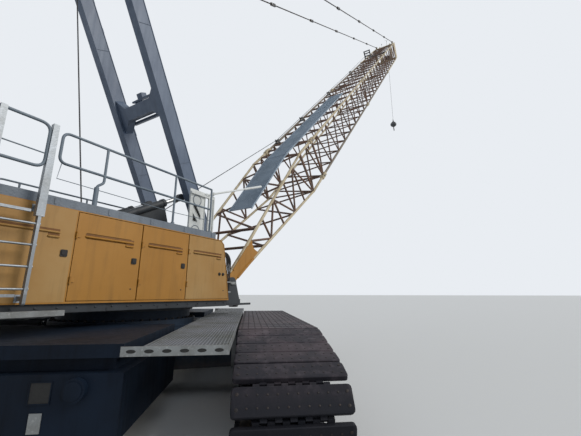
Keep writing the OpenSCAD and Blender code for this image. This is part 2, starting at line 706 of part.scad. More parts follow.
// Straight lattice box from s = 0: two sides, top and bottom, and four chords
module lattice_box(length, n) {
    for (s = [-1, 1]) {
        translate([0, s * boom_width / 2, 0]) upright(lacing) lattice_strip(length, n, boom_depth);
        translate([0, 0, s * boom_depth / 2]) linear_extrude(height = lacing, center = true)
            lattice_strip(length, n, boom_width);
        for (q = [-1, 1]) translate([0, s * boom_width / 2, q * boom_depth / 2]) rotate([0, 90, 0])
            cylinder(r = chord_radius, h = length, $fn = 32);
    }
}
module on_boom(s = 0) {
    translate(pivot) rotate([0, -boom_angle, 0]) translate([s, 0, 0]) children();
}
taper = 6500;
// Foot section: two tapered sides that run down to the foot bosses, tied by top and bottom lattice
module boom_foot_section() {
    rise = atan2(boom_depth / 2 - 120, taper - 300);
    slant = (taper - 300) / cos(rise);
    color(color_cream) on_boom() difference() {
        union() {
            for (s = [-1, 1]) translate([0, s * boom_width / 2, 0]) {
                upright(lacing) difference() {
                    polygon([[0, 100], [300, 120], [taper, boom_depth / 2], [taper, -boom_depth / 2], [300, -120], [0, -100]]);
                    for (k = [0 : 4]) {
                        x0 = 1500 + k * 1000;
                        h0 = (x0 / taper) * boom_depth / 2 - 60;
                        h1 = ((x0 + 930) / taper) * boom_depth / 2 - 60;
                        if (k % 2 == 0) polygon([[x0, -h0], [x0 + 880, -h1], [x0, h0 - 60]]);
                        if (k % 2 == 0) polygon([[x0 + 120, h0 - 20], [x0 + 930, h1], [x0 + 930, -h1 + 60]]);
                        if (k % 2 == 1) polygon([[x0, h0], [x0, -h0 + 60], [x0 + 880, h1]]);
                        if (k % 2 == 1) polygon([[x0 + 120, -h0 + 20], [x0 + 930, h1 - 60], [x0 + 930, -h1]]);
                    }
                }
                upright(foot_boss) circle(r = 150, $fn = 48);
                upright(100) polygon([[0, 130], [1300, 200], [1300, -200], [0, -130]]);
            }
            for (q = [-1, 1]) translate([300, 0, q * 120]) rotate([0, -q * rise, 0]) {
                for (s = [-1, 1]) translate([-50, s * boom_width / 2, 0]) rotate([0, 90, 0])
                    cylinder(r = chord_radius - 10, h = slant + 80, $fn = 32);
                translate([1700, 0, 0]) linear_extrude(height = lacing, center = true)
                    lattice_strip(slant - 1680, 4, boom_width);
            }
            translate([taper - 1, 0, 0]) lattice_box(foot_length - taper + 1, 2);
        }
        for (s = [-1, 1]) translate([0, s * boom_width / 2, 0]) across(foot_pin_radius + play, foot_boss + 20);
    }
}
insert_cells = 16;                            // half pitches of the lacing in an insert
walk_deck = 480;                              // half width of the walkway on the lower insert
module boom_insert(at) {
    color(color_cream) on_boom(at) union() {
        translate([play, 0, 0]) lattice_box(insert_length - play, insert_cells);
        if (at == foot_length) block([300, -walk_deck, boom_depth / 2 + lacing / 2 - 5],
            [0.75 * insert_length, walk_deck, boom_depth / 2 + lacing / 2 + 50]);
    }
}
head_straight = head_length - 1500;
sheave_at = [head_length - 150, -boom_depth / 2 + 250];
head_pin_radius = 55;
lug_at = [head_length - 500, boom_depth / 2 + 150]; // stay pins on the boom head
lug_pin_radius = 40;
jib_hole_radius = 45;
module boom_head_section() {
    color(color_cream) on_boom(head_from) difference() {
        union() {
            translate([play, 0, 0]) lattice_box(head_straight - play, 12);
            for (s = [-1, 1]) translate([0, s * 600, 0]) upright(60) polygon([[head_straight - 100, -boom_depth / 2],
                [head_length, -boom_depth / 2 - 50], [head_length + 150, -boom_depth / 2 + 150],
                [head_length - 150, boom_depth / 2 + 100], [head_straight - 100, boom_depth / 2]]);
            for (s = [-1, 1]) translate([0, s * boom_width / 2, 0]) upright(lacing) polygon([[head_straight - 50, -boom_depth / 2],
                [head_length - 400, -boom_depth / 2], [head_length - 100, boom_depth / 2], [head_straight - 50, boom_depth / 2]]);
            for (q = [-1, 1]) translate([head_length - 750 + q * 150, 0, q * (boom_depth / 2 - 60)])
                cube([600, boom_width, 120], center = true);
            translate([sheave_at[0], 0, sheave_at[1]]) across(head_pin_radius, 1340);
            for (s = [-1, 1]) {
                for (side = [-1, 1]) translate([0, s * stay_offset + side * 55, 0]) upright(40) union() {
                    polygon([[lug_at[0] - 250, lug_at[1] - 300], [lug_at[0] + 250, lug_at[1] - 300],
                        [lug_at[0] + 80, lug_at[1]], [lug_at[0] - 80, lug_at[1]]]);
                    translate(lug_at) circle(r = 80, $fn = 48);
                }
                translate([lug_at[0], s * stay_offset, lug_at[1]]) across(lug_pin_radius, 170);
            }
        }
        translate([head_length - 260, 0, boom_depth / 2 - 250]) across(jib_hole_radius, 2 * boom_width);
    }
}
head_sheave_radius = 330;
module boom_head_sheaves() {
    color(color_frame) on_boom(head_from) translate([sheave_at[0], 0, sheave_at[1]]) difference() {
        union() {
            for (k = [-2 : 2]) translate([0, k * 130, 0]) across(head_sheave_radius, 60);
            across(110, 740);
        }
        across(head_pin_radius + play, 2000);
    }
}

// Stays: two rows of bars with link plates, from the boom head to the A-frame head
head_from = foot_length + 2 * insert_length;
// Point of the boom's own plane, s along it and q square to it
function boom_point(s, q) = pivot + [cos(boom_angle) * s - sin(boom_angle) * q, 0, sin(boom_angle) * s + cos(boom_angle) * q];
stay_front = boom_point(head_from + lug_at[0], lug_at[1]);
stay_rear = pivot + a_frame_length * [-cos(a_frame_angle), 0, sin(a_frame_angle)];
stay_run = stay_front - stay_rear;
stay_offset = leg_offset + leg_thick / 2 + 60;
module stays() {
    color(color_frame) for (s = [-1, 1]) translate([0, s * stay_offset, 0]) union() {
        bar(stay_rear + 120 * unit(stay_run), stay_front - 80 * unit(stay_run), stay_radius);
        for (k = [1 : 6]) translate(stay_rear + stay_run * k / 7) rotate([0, -atan2(stay_run[2], stay_run[0]), 0])
            cube([520, 90, 130], center = true);
        translate(stay_rear) rotate([0, -atan2(stay_run[2], stay_run[0]), 0]) upright(60) difference() {
            union() {
                circle(r = 130, $fn = 48);
                translate([0, -70]) square([420, 140]);
            }
            circle(r = foot_pin_radius + play, $fn = 48);
        }
        translate(stay_front) rotate([0, -atan2(stay_run[2], stay_run[0]), 0]) upright(60) difference() {
            union() {
                circle(r = 90, $fn = 48);
                translate([-400, -55]) square([400, 110]);
            }
            circle(r = lug_pin_radius + play, $fn = 48);
        }
    }
}

// Hook: rope, ball and swivel hook under the boom head
rope_radius = 14;
rope_from = boom_point(head_from + sheave_at[0], sheave_at[1]) + [head_sheave_radius + rope_radius + play, 0, 0];
module hook() {
    low = rope_from - [0, 0, hook_drop];
    color(color_frame) union() {
        bar(low, rope_from, rope_radius);
        translate(low) rotate_extrude($fn = 48) polygon([[0, 300], [60, 300], [110, 120], [ball_radius, -120],
            [ball_radius, -330], [120, -520], [60, -560], [60, -700], [0, -700]]);
        translate(low - [0, 0, 880]) upright(90) difference() {
            circle(r = 200, $fn = 48);
            circle(r = 105, $fn = 48);
            translate([-240, 0]) square([180, 150]);
        }
        block(low - [45, 45, 760], low + [45, 45, -640]);
    }
}

carbody();
crawler_frame(LEFT);  // crawler_frame_left
crawler_frame(RIGHT);  // crawler_frame_right
track_rollers(LEFT);  // track_rollers_left
track_rollers(RIGHT);  // track_rollers_right
drive_sprockets();
idler_wheels();
track(LEFT);  // track_left
track(RIGHT);  // track_right
carbody_counterweight(-1);  // carbody_counterweight_rear
carbody_counterweight(1);  // carbody_counterweight_front
crawler_walkways();
slewing_platform();
union() {  // housing_right
    housing(RIGHT);
    housing_frame(RIGHT);
}
union() {  // housing_left
    housing(LEFT);
    housing_frame(LEFT);
}
engine_block();
roof_decks();
handrails(RIGHT);  // handrails_right
handrails(LEFT);  // handrails_left
ladder();
folded_platform();
erecting_cylinders();
cab();
cab_glass();
cab_seat();
counterweight_tray();
counterweight_slabs();
door(RIGHT, 0);  // door_right_1
door(RIGHT, 1);  // door_right_2
door(RIGHT, 2);  // door_right_3
door(LEFT, 0);  // door_left_1
door(LEFT, 1);  // door_left_2
door(LEFT, 2);  // door_left_3
cab_door();
drum(0);  // hoist_drum_front
drum(1);  // hoist_drum_rear
drum(2);  // luffing_drum
a_frame();
a_frame_sheaves();
boom_foot_section();
boom_insert(foot_length);  // boom_insert_lower
boom_insert(foot_length + insert_length);  // boom_insert_upper
boom_head_section();
stays();
boom_head_sheaves();
hook();
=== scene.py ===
import math

import bpy
from mathutils import Matrix, Vector


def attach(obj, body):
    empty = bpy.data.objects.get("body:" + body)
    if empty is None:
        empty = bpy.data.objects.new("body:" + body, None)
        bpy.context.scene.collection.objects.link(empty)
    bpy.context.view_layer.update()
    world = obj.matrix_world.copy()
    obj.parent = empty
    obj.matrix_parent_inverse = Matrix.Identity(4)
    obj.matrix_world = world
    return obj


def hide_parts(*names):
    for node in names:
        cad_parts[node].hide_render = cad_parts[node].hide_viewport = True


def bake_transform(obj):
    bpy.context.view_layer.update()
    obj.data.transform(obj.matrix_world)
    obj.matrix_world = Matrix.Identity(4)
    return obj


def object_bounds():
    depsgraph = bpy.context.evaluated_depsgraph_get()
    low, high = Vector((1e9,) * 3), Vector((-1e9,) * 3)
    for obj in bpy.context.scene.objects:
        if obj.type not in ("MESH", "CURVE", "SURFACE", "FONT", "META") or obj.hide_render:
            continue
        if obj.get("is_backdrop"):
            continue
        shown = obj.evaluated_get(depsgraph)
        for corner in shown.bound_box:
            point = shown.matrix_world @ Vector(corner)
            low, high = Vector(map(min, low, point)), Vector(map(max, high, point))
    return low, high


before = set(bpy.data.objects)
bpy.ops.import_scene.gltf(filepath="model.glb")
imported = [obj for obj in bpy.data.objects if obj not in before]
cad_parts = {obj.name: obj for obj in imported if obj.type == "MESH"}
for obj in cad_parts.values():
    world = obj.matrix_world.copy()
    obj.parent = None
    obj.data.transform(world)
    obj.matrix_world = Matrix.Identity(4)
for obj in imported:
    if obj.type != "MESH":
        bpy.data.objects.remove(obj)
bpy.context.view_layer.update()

# ---- Camera and studio light
# A low eye beside the right crawler, looking up along the boom. One broad soft key from the
# camera's right and an even pale sky, at the level where a colour renders as it is written.
into_scene = bpy.context.scene.collection.objects.link
eye = Vector((-4.531, -6.778, 1.736))
look = Vector((0.8409, 0.4881, 0.2336)).normalized()
camera_up = Vector((-0.2025, -0.1164, 0.9723))
camera_right = look.cross(camera_up).normalized()
camera_up = camera_right.cross(look)
camera_turn = Matrix((camera_right, camera_up, -look)).transposed().to_4x4()
camera = bpy.data.objects.new("camera", bpy.data.cameras.new("camera"))
camera.matrix_world = Matrix.Translation(eye) @ camera_turn
camera.data.lens = 19.71
camera.data.sensor_width = 36
camera.data.clip_end = 2000
into_scene(camera)
bpy.context.scene.camera = camera
bpy.context.scene.view_settings.view_transform = "Standard"


def linear(code):
    """The linear colour of an sRGB hex code."""
    parts = [int(code[k:k + 2], 16) / 255 for k in (1, 3, 5)]
    return tuple(c / 12.92 if c <= 0.04045 else ((c + 0.055) / 1.055) ** 2.4 for c in parts) + (1.0,)


def feed(tree, node, inputs):
    """Sets inputs of a node: values, hex colours, or links from sockets."""
    for name, value in inputs.items():
        if isinstance(value, bpy.types.NodeSocket):
            tree.links.new(value, node.inputs[name])
        else:
            node.inputs[name].default_value = linear(value) if isinstance(value, str) else value


def add(tree, kind, inputs=None, out=0, **settings):
    """Adds a node with its settings and inputs, and gives its output."""
    node = tree.nodes.new("ShaderNode" + kind)
    for name, value in settings.items():
        setattr(node, name, value)
    feed(tree, node, inputs or {})
    return node.outputs[out] if node.outputs else node


world = bpy.data.worlds.new("pale sky")
bpy.context.scene.world = world
world.use_nodes = True
sky = world.node_tree
sky.nodes.clear()
seen = add(sky, "LightPath", out="Is Camera Ray")
rays = seen.node.outputs
for ray in ("Is Glossy Ray", "Is Transmission Ray"):
    seen = add(sky, "Math", {0: seen, 1: rays[ray]}, operation="MAXIMUM")
lit = add(sky, "Background", {"Color": "#dfe8f5", "Strength": 0.62})
shown = add(sky, "Background", {"Color": "#e9edf2", "Strength": 1.0})
add(sky, "OutputWorld", {"Surface": add(sky, "MixShader", {0: seen, 1: lit, 2: shown})})

key = bpy.data.objects.new("key light", bpy.data.lights.new("key light", "SUN"))
key.data.energy = 1.7
key.data.angle = math.radians(25)
key.data.color = (1.0, 0.96, 0.9)
key.rotation_euler = Vector((-0.25, 0.8, -0.62)).to_track_quat("-Z", "Y").to_euler()
into_scene(key)


# ---- Floor
# A pale matt studio floor far past the crane, so that its edge lies on the horizon. It belongs to the
# stage and isn't part of the crane.
def new_paint(name):
    """A material with its tree and shader."""
    paint = bpy.data.materials.new(name)
    paint.use_nodes = True
    return paint, paint.node_tree, paint.node_tree.nodes["Principled BSDF"]


def corners(x0, y0, x1, y1):
    """The corners of a rectangle."""
    return [(x0, y0), (x1, y0), (x1, y1), (x0, y1)]


concrete, tree, shader = new_paint("pale matt floor")
feed(tree, shader, {"Base Color": "#d3d3d0", "Roughness": 0.9})
reach = 900
floor_mesh = bpy.data.meshes.new("floor")
floor_mesh.from_pydata([(x, y, 0) for x, y in corners(-reach, -reach, reach, reach)], [], [(0, 1, 2, 3)])
floor_mesh.materials.append(concrete)
floor = bpy.data.objects.new("floor", floor_mesh)
floor.location.z = -0.002
into_scene(floor)
floor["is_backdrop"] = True

# ---- Tracks
# Loops of cast steel shoes: a wide flat plate with rounded corners over a narrow pair of rails,
# linked by pins through interleaved hinge lugs. Rusted purple-brown, with dull bolts let in flush.
up, left = Vector((0, 0, 1)), Vector((0, 1, 0))
hands = ((1, "left"), (-1, "right"))
crawler_turn = Matrix.Rotation(math.radians(37.3), 4, "Z")
gauge = 6.2
end_x, end_radius, top_half = 3.95, 0.5, 2.75
pitch_depth = 0.11
path_r = end_radius - pitch_depth
top_z = 1.25 - pitch_depth
track_face = pitch_depth - 0.005
shoe_half, shoe_gap, shoe_thick = 0.6, 0.018, 0.056


def track_joints():
    """The pins' places along the pitch line, from the rear end of the level run."""
    corner, centre = Vector((top_half, top_z)), Vector((end_x, end_radius))
    to_corner = corner - centre
    leave_at = math.atan2(to_corner.y, to_corner.x) - math.acos(path_r / to_corner.length)
    leave = centre + path_r * Vector((math.cos(leave_at), math.sin(leave_at)))
    slope, arc = (leave - corner).length, path_r * (leave_at + math.pi / 2)
    whole = 2 * top_half + 2 * slope + 2 * arc + 2 * end_x
    count = round(whole / 0.295)

    def at(s):
        if s < 2 * top_half:
            return Vector((s - top_half, top_z))
        s -= 2 * top_half
        if s < slope:
            return corner.lerp(leave, s / slope)
        s -= slope
        if s < arc:
            a = leave_at - s / path_r
            return centre + path_r * Vector((math.cos(a), math.sin(a)))
        s -= arc
        if s < 2 * end_x:
            return Vector((end_x - s, pitch_depth))
        back = at(whole + 2 * top_half - (s + 2 * top_half + slope + arc))
        return Vector((-back.x, back.y))

    return [at(k * whole / count) for k in range(count)]


def around(count):
    """Angles evenly round a circle."""
    return [2 * math.pi * k / count for k in range(count)]


def heading(a):
    """Direction at an angle above +X in the plane of the boom."""
    return Vector((math.cos(a), 0, math.sin(a)))


def loft(rings, closed=False):
    """A skin through rings of points, capped at both ends unless it closes on itself."""
    sides, count = len(rings[0]), len(rings)
    faces = []
    for k in range(count if closed else count - 1):
        a, b = k * sides, (k + 1) % count * sides
        faces += [(a + i, a + (i + 1) % sides, b + (i + 1) % sides, b + i) for i in range(sides)]
    if not closed:
        faces += [tuple(range(sides)), tuple(range((count - 1) * sides, count * sides))]
    return [Vector(p) for ring in rings for p in ring], faces


def box(low, high):
    """A block between two corners."""
    base = corners(*low[:2], *high[:2])
    return loft([[(x, y, z) for x, y in base] for z in (low[2], high[2])])


def tube(points, radius, sides=10, closed=False):
    """A round bar along points."""
    points = [Vector(p) for p in points]
    count, rings, side = len(points), [], None
    for k, p in enumerate(points):
        before = points[k - 1] if k or closed else p
        after = points[(k + 1) % count] if k < count - 1 or closed else p
        along = (after - before).normalized()
        if side is None:
            side = along.orthogonal().normalized()
        side = (side - along * side.dot(along)).normalized()
        other = along.cross(side)
        rings.append([p + radius * (math.cos(a) * side + math.sin(a) * other) for a in around(sides)])
    return loft(rings, closed)


def turned(profile, centre, axis, sides=32):
    """A turned solid: profile is (radius, distance along the axis) from centre."""
    axis = Vector(axis).normalized()
    side = axis.orthogonal().normalized()
    other = axis.cross(side)
    return loft([[Vector(centre) + axis * h + r * (math.cos(a) * side + math.sin(a) * other)
                  for a in around(sides)] for r, h in profile])


def pin(radius, low, high, centre, axis, sides=32):
    """A plain round bar from low to high along an axis through centre."""
    return turned([(radius, low), (radius, high)], centre, axis, sides)


def plate(outline, axis, level, thick):
    """A flat plate square to axis 0, 1 or 2, with its outline in the other two, from level on."""
    return loft([[p[:axis] + (height,) + p[axis:] for p in map(tuple, outline)]
                 for height in (level, level + thick)])


def moved(part, matrix):
    return [matrix @ v for v in part[0]], part[1]


def rounded(outline, radius, steps=4):
    """The same outline, in two or three dimensions, with its corners rounded."""
    count, out = len(outline), []
    for k in range(count):
        p, a, b = Vector(outline[k]), Vector(outline[k - 1]), Vector(outline[(k + 1) % count])
        reach = min(radius, (a - p).length / 2, (b - p).length / 2)
        start, stop = p + (a - p).normalized() * reach, p + (b - p).normalized() * reach
        for s in (i / steps for i in range(steps + 1)):
            out.append(tuple(start * (1 - s) ** 2 + p * 2 * s * (1 - s) + stop * s ** 2))
    return out


def piece(name, parts, paint, body="superstructure", replaced=None):
    """One mesh of parts, in its paint, riding on a body in place of a CAD node. A rope has no one body."""
    verts, faces = [], []
    for part_verts, part_faces in parts:
        base = len(verts)
        verts += part_verts
        faces += [[i + base for i in face] for face in part_faces]
    mesh = bpy.data.meshes.new(name)
    mesh.from_pydata(verts, [], faces)
    mesh.materials.append(paint)
    obj = bpy.data.objects.new(name, mesh)
    into_scene(obj)
    bpy.context.view_layer.objects.active = obj
    bpy.ops.object.mode_set(mode="EDIT")
    bpy.ops.mesh.select_all(action="SELECT")
    bpy.ops.mesh.normals_make_consistent(inside=False)
    bpy.ops.object.mode_set(mode="OBJECT")
    mesh.shade_smooth()
    mesh.set_sharp_from_angle(angle=math.radians(40))
    if replaced:
        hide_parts(replaced)
    if body:
        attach(obj, body)
    return obj


def crawler_piece(name, parts, paint, replaced=None):
    """A piece of the undercarriage, laid out along the crawlers and turned with them."""
    piece(name, [moved(p, crawler_turn) for p in parts], paint, "undercarriage", replaced)


def noise(tree, place, scale, detail, roughness=0.5):
    return add(tree, "TexNoise", {"Vector": place, "Scale": scale, "Detail": detail, "Roughness": roughness})


def ramp(tree, value, low, high, start=0, stop=1):
    """A value between low and high, mapped to start and stop."""
    return add(tree, "MapRange", {0: value, 1: low, 2: high, 3: start, 4: stop})


def mixed(tree, factor, a, b):
    return add(tree, "Mix", {0: factor, 6: a, 7: b}, 2, data_type="RGBA")


def bump(tree, height, strength, depth):
    return add(tree, "Bump", {"Height": height, "Strength": strength, "Distance": depth})


def rough_steel(name, base, rust, worn, grain, metallic=0.3, roughness=0.62):
    """Cast or rolled steel left bare: blotches of rust over a dark skin, worn paler, and pitted."""
    paint, tree, shader = new_paint(name)
    place = add(tree, "TexCoord", out="Object")
    scuffs = noise(tree, place, grain * 4, 6, 0.7)
    tone = mixed(tree, ramp(tree, noise(tree, place, grain, 8, 0.65), 0.42, 0.62), base, rust)
    feed(tree, shader, {
        "Base Color": mixed(tree, ramp(tree, scuffs, 0.52, 0.72, 0, 0.7), tone, worn),
        "Roughness": ramp(tree, scuffs, 0, 1, roughness - 0.12, roughness + 0.2),
        "Metallic": metallic,
        "Normal": bump(tree, noise(tree, place, grain * 14, 4), 0.35, 0.004)})
    return paint


# Cast shoes: casting skin gone purple-brown, polished a little by the ground, pits of 3 to 6 mm.
shoe_steel = rough_steel("rusted cast steel", "#322f35", "#4d4347", "#6c656b", 2.2)
tree = shoe_steel.node_tree
shader = tree.nodes["Principled BSDF"]
skin = shader.inputs["Base Color"].links[0].from_socket
# From 1.2 m down to 0.7 m high the shoes darken into a near-black blue: painted shade on the lower runs of
# the track.
height = add(tree, "SeparateXYZ", {0: add(tree, "TexCoord", out="Object")}, "Z")
feed(tree, shader, {"Base Color": mixed(tree, ramp(tree, height, 0.7, 1.2, 0.92, 0), skin, "#15181f"),
                    "Specular IOR Level": 0.25})
bolt_steel = rough_steel("oily bolt steel", "#1d1b1c", "#2c2422", "#4a4442", 9.0, 0.5, 0.5)


def shoe(length):
    """One shoe along +X from pin to pin."""
    start, stop, low = shoe_gap / 2, length - shoe_gap / 2, track_face - shoe_thick
    rings = []
    for z, inset in ((low, 0.0), (track_face - 0.008, 0.0), (track_face, 0.008)):
        ring = corners(start + inset, inset - shoe_half, stop - inset, shoe_half - inset)
        rings.append([(x, y, z) for x, y in rounded(ring, 0.045, 3)])
    lugs = [(stop - 0.03, stop + 0.035, -0.36 + k * 0.144) for k in range(6)]
    lugs += [(start - 0.035, start + 0.03, -0.288 + k * 0.144) for k in range(5)]
    parts = [loft(rings), tube([(length, -0.4, 0), (length, 0.4, 0)], 0.026)]
    parts += [box((x0, y - 0.034, low - 0.035), (x1, y + 0.034, low + 0.012)) for x0, x1, y in lugs]
    guide = [(start + 0.02, -0.07), (stop - 0.02, -0.07), (stop - 0.06, 0.0), (start + 0.06, 0.0)]
    for side in (-1, 1):
        parts.append(box((start - 0.004, side * 0.12, -0.07), (stop + 0.004, side * 0.25, low + 0.001)))
        parts.append(plate(guide, 1, side * 0.095 - 0.02, 0.04))
    return parts


def shoe_bolts(length):
    """Two rows of small bolts across a shoe and a pair of large ones at each end."""
    spots = [(length * row, -0.45 + k * 0.1, 0.012) for row in (0.3, 0.7) for k in range(10)]
    spots += [(length * row, side * 0.545, 0.019) for row in (0.27, 0.73) for side in (-1, 1)]
    return [turned([(r, track_face - 0.01), (r, track_face + 0.002), (r * 0.7, track_face + 0.004)],
                   (x, y, 0), up, 6) for x, y, r in spots]


joints = track_joints()
for side, name in hands:
    plates, bolts = [], []
    for a, b in zip(joints, joints[1:] + joints[:1]):
        along, length = (b - a).normalized(), (b - a).length
        here = Matrix(((along.x, 0, -along.y, a.x), (0, 1, 0, side * gauge / 2),
                       (along.y, 0, along.x, a.y), (0, 0, 0, 1)))
        plates += [moved(part, here) for part in shoe(length)]
        bolts += [moved(part, here) for part in shoe_bolts(length)]
    crawler_piece(f"track_shoes_{name}", plates, shoe_steel, f"track_{name}")
    crawler_piece(f"shoe_bolts_{name}", bolts, bolt_steel)


# ---- Crawler frames and carbody
# Welded plate under thick navy enamel, brushed on over years of scuffs: matt, muddy towards the
# ground, chipped to primer and rust at random, with dry runs of dirt below every edge.
def enamel(name, colour, faded, grime, runs, rust, roughness, mud_top=None, specular=0.5):
    """Enamel on plate: chalked by the sun in clouds, dirt in runs, a few rusty chips."""
    paint, tree, shader = new_paint(name)
    place = add(tree, "TexCoord", out="Object")
    specks = noise(tree, place, 14, 5, 0.75)
    streaks = noise(tree, add(tree, "Mapping", {"Vector": place, "Scale": (9, 9, 0.8)}), 1, 6, 0.62)
    tone = mixed(tree, ramp(tree, noise(tree, place, 0.9, 5, 0.6), 0.35, 0.68), colour, faded)
    tone = mixed(tree, ramp(tree, streaks, 0.5, 0.78, 0, runs), tone, grime)
    tone = mixed(tree, ramp(tree, specks, 0.76 - rust * 0.16, 0.79 - rust * 0.16), tone, "#5a3a2a")
    if mud_top:
        height = add(tree, "SeparateXYZ", {0: place}, "Z")
        ragged = add(tree, "Math", {0: specks, 1: -0.5 * mud_top, 2: height}, operation="MULTIPLY_ADD")
        tone = mixed(tree, ramp(tree, ragged, mud_top * 0.7, 0.1, 0, 0.75), tone, "#5c5348")
    feed(tree, shader, {
        "Base Color": tone, "Specular IOR Level": specular,
        "Roughness": ramp(tree, streaks, 0, 1, roughness - 0.08, roughness + 0.22),
        "Normal": bump(tree, noise(tree, place, 60, 2), 0.12, 0.002)})
    return paint


def dress(paint, *nodes):
    """Gives CAD nodes their paint."""
    for node in nodes:
        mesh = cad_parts[node].data
        mesh.materials.clear()
        mesh.materials.append(paint)


navy = enamel("navy enamel on welded plate", "#1d2836", "#2b3848", "#1b1a1a", 0.5, 0.5, 0.5, 0.7, 0.25)
dress(navy, "carbody", "crawler_frame_left", "crawler_frame_right")
deck_z, frame_side = 1.25, 0.3
ring_bolts = [turned([(0.028, deck_z - 0.01), (0.028, deck_z + 0.026), (0.02, deck_z + 0.032)],
                     (1.36 * math.cos(a), 1.36 * math.sin(a), 0), up, 6) for a in around(54)]
piece("slewing_ring_bolts", ring_bolts, bolt_steel, "undercarriage")
caps = []
spots = [(k * end_x / 6.2, 0.3303, 0.062) for k in range(-5, 6)]
spots += [(k * 2.09, 0.9697, 0.055) for k in (-1, 0, 1)]
for side, face in ((-1, -1), (-1, 1), (1, -1), (1, 1)):
    for x, z, r in spots:
        base = Vector((x, side * gauge / 2 + face * frame_side, z))
        caps.append(turned([(r, 0), (r, 0.022), (r * 0.8, 0.03)], base, face * left, 20))
        for k in range(4):
            spot = base + face * 0.028 * left + r * 0.62 * heading(math.pi / 4 + math.pi / 2 * k)
            caps.append(pin(0.009, 0, 0.009, spot, face * left, 6))
crawler_piece("axle_caps", caps, bolt_steel)

# ---- Rollers, sprockets and idlers
# Turned and cast steel, black with grease and road dirt, running dry and bright on the rails' line.
# Their forms are the CAD's own; only the look of the steel is made here.
greasy = rough_steel("greasy cast steel", "#1f1e1e", "#33291f", "#57534f", 5.0, 0.55, 0.45)
dress(greasy, "track_rollers_left", "track_rollers_right", "drive_sprockets", "idler_wheels")

# ---- Carbody counterweights
# Cast blocks in a welded shell: navy enamel, scuffed and streaked with dirt, and darkened well below the
# carbody's navy as painted shade, with two lifting bosses on each end, square lashing holes with thin
# rims, and a small bare tag on the rear one.
shaded_and_stained_navy = enamel("navy enamel on ballast, darkened as painted shade", "#0a111b", "#121e2d", "#0a0b0d", 0.6, 0.35, 0.55, 0.3, 0.15)
dress(shaded_and_stained_navy, "carbody_counterweight_rear", "carbody_counterweight_front")
# Black rubber, also laid as thin plates for painted shade in holes that are not cut.
black_rubber_and_hole_shade = rough_steel("black rubber, and painted shade in holes", "#131313", "#1b1a19", "#2a2928", 20.0, 0.0, 0.6)
bare_zinc = rough_steel("dull zinc", "#8e9191", "#7b7c7a", "#b4b7b7", 6.0, 0.65, 0.42)
hole_z, rim_edges = 0.83, ((-0.1, -0.1, 0.1, -0.09), (-0.1, 0.09, 0.1, 0.1),
                           (-0.1, -0.09, -0.09, 0.09), (0.09, -0.09, 0.1, 0.09))
for end, name in ((1, "front"), (-1, "rear")):
    holes, rims, x = [], [], end * 4.15
    for side in (-1, 1):
        y = side * 0.72
        # Each hole is a black plate 2 mm thick laid on the face: painted shade in place of the hole's depth.
        holes.append(box((x, y - 0.09, hole_z - 0.09), (x + end * 0.002, y + 0.09, hole_z + 0.09)))
        rims += [box((x, y + y0, hole_z + z0), (x + end * 0.008, y + y1, hole_z + z1))
                 for y0, z0, y1, z1 in rim_edges]
        rims.append(turned([(0.085, 0), (0.085, 0.012), (0.06, 0.016)], (end * 4.22, side * 1.03, 0.85),
                           (end, 0, 0)))
    crawler_piece(f"lashing_holes_{name}", holes, black_rubber_and_hole_shade)
    crawler_piece(f"lifting_bosses_{name}", rims, shaded_and_stained_navy)
tag = box((-4.158, -0.77, 0.49), (-4.15, -0.66, 0.66))
crawler_piece("ballast_tag", [tag], bare_zinc)

# ---- Crawler walkways
# Press-locked steel grating on brackets: bearing bars on edge across the walk, thin rods along it,
# in a flat frame with punched end plates, hot-dip galvanised and gone dull with dried mud.
dull_grating = rough_steel("muddy galvanised grating", "#7d7f83", "#666864", "#9a9da2", 1.6, 0.3, 0.62)
walk_outer, walk_wide, walk_half = gauge / 2 - shoe_half - 0.03, 0.82, 4.3
for side, name in hands:
    outer, inner = side * walk_outer, side * (walk_outer - walk_wide)
    near, far = sorted((outer, inner))
    parts = [box((x0, y0, deck_z - 0.07), (x1, y1, deck_z)) for x0, y0, x1, y1 in (
        (-walk_half, near, walk_half, near + 0.012), (-walk_half, far - 0.012, walk_half, far),
        (-walk_half, near, 0.012 - walk_half, far), (walk_half - 0.012, near, walk_half, far))]
    for x in (0.05 * k - walk_half for k in range(1, int(walk_half * 2 / 0.05))):
        parts.append(box((x, near, deck_z - 0.04), (x + 0.012, far, deck_z - 0.002)))
    for y in (near + 0.035 + 0.035 * k for k in range(22)):
        parts.append(tube([(-walk_half, y, deck_z - 0.005), (walk_half, y, deck_z - 0.005)], 0.005, 6))
    post = outer - side * 0.06
    for x in (-2.6, 0, 2.6):
        parts.append(box((x - 0.04, near + 0.08, deck_z - 0.19), (x + 0.04, far - 0.02, deck_z - 0.07)))
        parts.append(box((x - 0.04, outer, 0.7), (x + 0.04, post, deck_z - 0.07)))
        parts.append(box((x - 0.04, post, 0.7), (x + 0.04, side * (gauge / 2 - frame_side), 0.78)))
    crawler_piece(f"walkway_{name}", parts, dull_grating, "crawler_walkways")
    ends, ovals = [], []
    low, high = sorted((outer, inner - side * 0.2))
    for end in (-1, 1):
        x = end * (walk_half + 0.006)
        ends.append(box((x - 0.006, low, deck_z - 0.09), (x + 0.006, high, deck_z)))
        for y in (low + 0.1 + 0.165 * k for k in range(6)):
            # Each oval hole is a black plate 2 mm thick on the end plate: painted shade in place of the hole.
            ring = [(y + 0.045 * math.cos(a), deck_z - 0.045 + 0.018 * math.sin(a)) for a in around(14)]
            ovals.append(plate(ring, 0, x + end * 0.006 - 0.001, 0.002))
    crawler_piece(f"walkway_ends_{name}", ends, bare_zinc)
    crawler_piece(f"walkway_end_holes_{name}", ovals, black_rubber_and_hole_shade)

